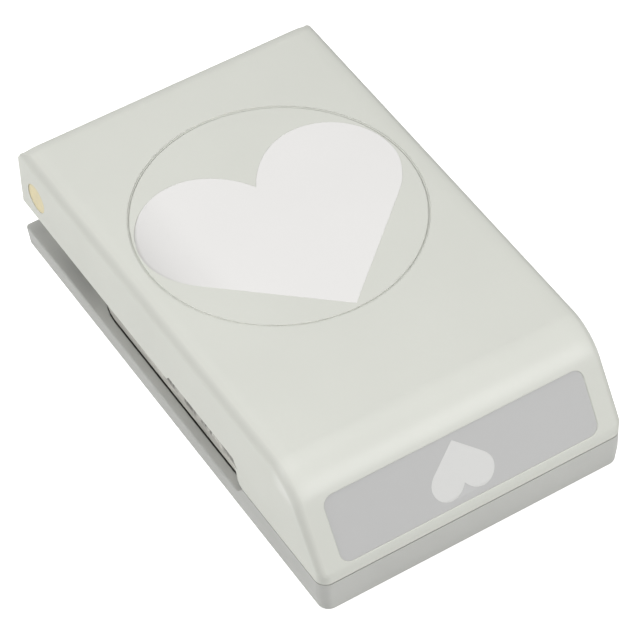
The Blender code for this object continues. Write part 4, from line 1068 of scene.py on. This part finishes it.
def make_pin_ends():
    for side, name, node in ((-1, "pin_head_left", "hinge_pin"), (1, "pin_head_right", "pin_cap")):
        low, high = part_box(node)
        outer = max(abs(low.x), abs(high.x))
        middle = side * (outer - PIN_HEAD_THICKNESS / 2)
        head = bar(name, (middle, HINGE_Y, HINGE_Z), PIN_HEAD_R, PIN_HEAD_THICKNESS, "X", sides=64)
        with editing(head):
            choose("EDGE", lambda edge: lies(edge, x=side * outer))
            bevel(PIN_RIM_R, segments=4)
        if side < 0:
            join(head, bar("shank", (0, HINGE_Y, HINGE_Z), PIN_SHANK_R,
                           2 * (outer - PIN_HEAD_THICKNESS), "X"))
        smooth(head)
        seat(head, PIN_METAL, "lever", "pin_brass", node)


# Die set and punch

def make_guide():
    holes = [cut_heart(GAP)]
    for kind, radius in (("guide_post", POST_HOLE_R), ("die_screw", SCREW_HOLE_R)):
        for index in range(1, 5):
            centre = centre_of(f"{kind}_{index}")
            holes.append(circle((centre.x, centre.y), radius, steps=20))
    guide = plate("guide_casting", die_set_outline(), holes, GUIDE_LOW.z - GUIDE_DROP,
                  GUIDE_HIGH.z, GUIDE_RIM_R)
    smooth(guide)
    seat(guide, GUIDE_METAL, "base", "cast_metal", "guide_plate")


def coil(name, low, high):
    """A spring of round wire that fills a box, as the mesh of a curve."""
    centre, low_z, high_z = (low + high) / 2, low.z + WIRE_R, high.z - WIRE_R
    radius = (high.x - low.x) / 2 - WIRE_R
    curve = bpy.data.curves.new(name, "CURVE")
    curve.dimensions = "3D"
    curve.bevel_depth = WIRE_R
    curve.bevel_resolution = 3
    curve.use_fill_caps = True
    spline = curve.splines.new("POLY")
    count = COIL_TURNS * COIL_STEPS
    spline.points.add(count)
    for step, point in enumerate(spline.points):
        angle = 2 * math.pi * step / COIL_STEPS
        point.co = (centre.x + radius * math.cos(angle), centre.y + radius * math.sin(angle),
                    low_z + (high_z - low_z) * step / count, 1)
    return mesh_of(name, curve)


def make_springs():
    for index in range(1, 5):
        node = f"return_spring_{index}"
        low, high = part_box(node)
        spring = coil(f"coil_{index}", low, high)
        select_only(spring)
        bpy.ops.object.shade_smooth_by_angle(angle=COIL_SMOOTH_ANGLE)
        spring.data.materials.append(SPRING_STEEL)
        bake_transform(spring)
        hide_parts(node)


def dress_nodes():
    """Gives the nodes that stay as they are their finishes."""
    looks = {"tool_steel": TOOL_STEEL, "screw_steel": SCREW_STEEL, "lock_plastic": LOCK_PLASTIC}
    for part in frame["record"]["subparts"]:
        node = frame["nodes"][part["node"]]
        if not node.hide_render:
            look = DIE_STEEL if part["node"] == "die_plate" else looks[part["material_slot"]]
            node.data.materials.clear()
            node.data.materials.append(look)


# Stage, light and camera

WHITE = (1, 1, 1, 1)
WORLD_LIGHT = 0.3
FLOOR_COLOUR = (0.82, 0.82, 0.82, 1)
FLOOR_GLOW = 0.75
FLOOR_SIZE = 6

# Each lamp's name, place, size and power; all are turned to the middle of the object's foot
LAMPS = (("front_softbox", (0.34, -0.75, 0.57), 0.5, 3.7),
         ("left_softbox", (-0.6, 0.1, 0.5), 0.4, 2.45),
         ("top_softbox", (0, 0.1, 1.0), 0.6, 2.6))


def background_share(nodes):
    """1 where a camera, glossy or transmission ray looks, and 0 for the light on the object."""
    camera, glossy, through = (nodes.add("ShaderNodeLightPath", output=f"Is {kind} Ray")
                               for kind in ("Camera", "Glossy", "Transmission"))
    return nodes.maths("MAXIMUM", nodes.maths("MAXIMUM", camera, glossy), through)


def make_world():
    world = bpy.data.worlds.new("studio")
    bpy.context.scene.world = world
    world.use_nodes = True
    nodes = Nodes(world.node_tree)
    nodes.tree.nodes.remove(nodes.tree.nodes["Background"])
    light = nodes.add("ShaderNodeBackground", None, {"Color": WHITE, "Strength": WORLD_LIGHT})
    backdrop = nodes.add("ShaderNodeBackground", None, {"Color": WHITE, "Strength": 1})
    mix = nodes.add("ShaderNodeMixShader", None,
                    {0: background_share(nodes), 1: light, 2: backdrop})
    nodes.fill(nodes.tree.nodes["World Output"], {"Surface": mix})


def make_floor():
    bpy.ops.object.select_all(action="DESELECT")
    bpy.ops.mesh.primitive_plane_add(size=FLOOR_SIZE, location=(0, 0, 0))
    floor = bpy.context.object
    floor.name = "floor"
    look = bpy.data.materials.new("floor_white")
    look.use_nodes = True
    nodes = Nodes(look.node_tree)
    nodes.tree.nodes.remove(nodes.tree.nodes["Principled BSDF"])
    diffuse = nodes.add("ShaderNodeBsdfDiffuse", None, {"Color": FLOOR_COLOUR})
    glow = nodes.add("ShaderNodeEmission", None, {"Strength": FLOOR_GLOW})
    glowing = nodes.add("ShaderNodeAddShader", None, {0: diffuse, 1: glow})
    mix = nodes.add("ShaderNodeMixShader", None,
                    {0: background_share(nodes), 1: diffuse, 2: glowing})
    nodes.fill(nodes.tree.nodes["Material Output"], {"Surface": mix})
    floor.data.materials.append(look)


def make_lights():
    for name, place, size, power in LAMPS:
        bpy.ops.object.light_add(type="AREA", location=place)
        lamp = bpy.context.object
        lamp.name = name
        lamp.data.shape = "SQUARE"
        lamp.data.size = size
        lamp.data.energy = power
        lamp.rotation_mode = "QUATERNION"
        lamp.rotation_quaternion = (Vector() - Vector(place)).to_track_quat("-Z", "Y")


CAMERA_PLACE = (-0.281725, -0.476385, 0.632948)
CAMERA_AZIMUTH = math.radians(-30.9772)
CAMERA_ELEVATION = math.radians(48.3899)
CAMERA_ROLL = math.radians(-1.8258)
CAMERA_LENS = 188.65
CAMERA_SHIFT = (-0.01414, 0.00053)


def make_camera():
    bpy.ops.object.camera_add(location=CAMERA_PLACE)
    camera = bpy.context.object
    level = math.cos(CAMERA_ELEVATION)
    back = Vector((math.sin(CAMERA_AZIMUTH) * level, -math.cos(CAMERA_AZIMUTH) * level,
                   math.sin(CAMERA_ELEVATION)))
    right = Vector((0, 0, 1)).cross(back).normalized()
    up = back.cross(right)
    turned = Matrix((right, up, back)).transposed() @ Matrix.Rotation(CAMERA_ROLL, 3, "Z")
    camera.rotation_euler = turned.to_euler()
    camera.data.lens = CAMERA_LENS
    camera.data.shift_x, camera.data.shift_y = CAMERA_SHIFT
    camera.data.clip_start = 0.01
    bpy.context.scene.camera = camera


make_base()
make_lever()
make_disc()
make_panel()
make_pin_ends()
make_guide()
make_springs()
dress_nodes()
make_world()
make_floor()
make_lights()
make_camera()
bpy.context.scene.view_settings.view_transform = "Standard"
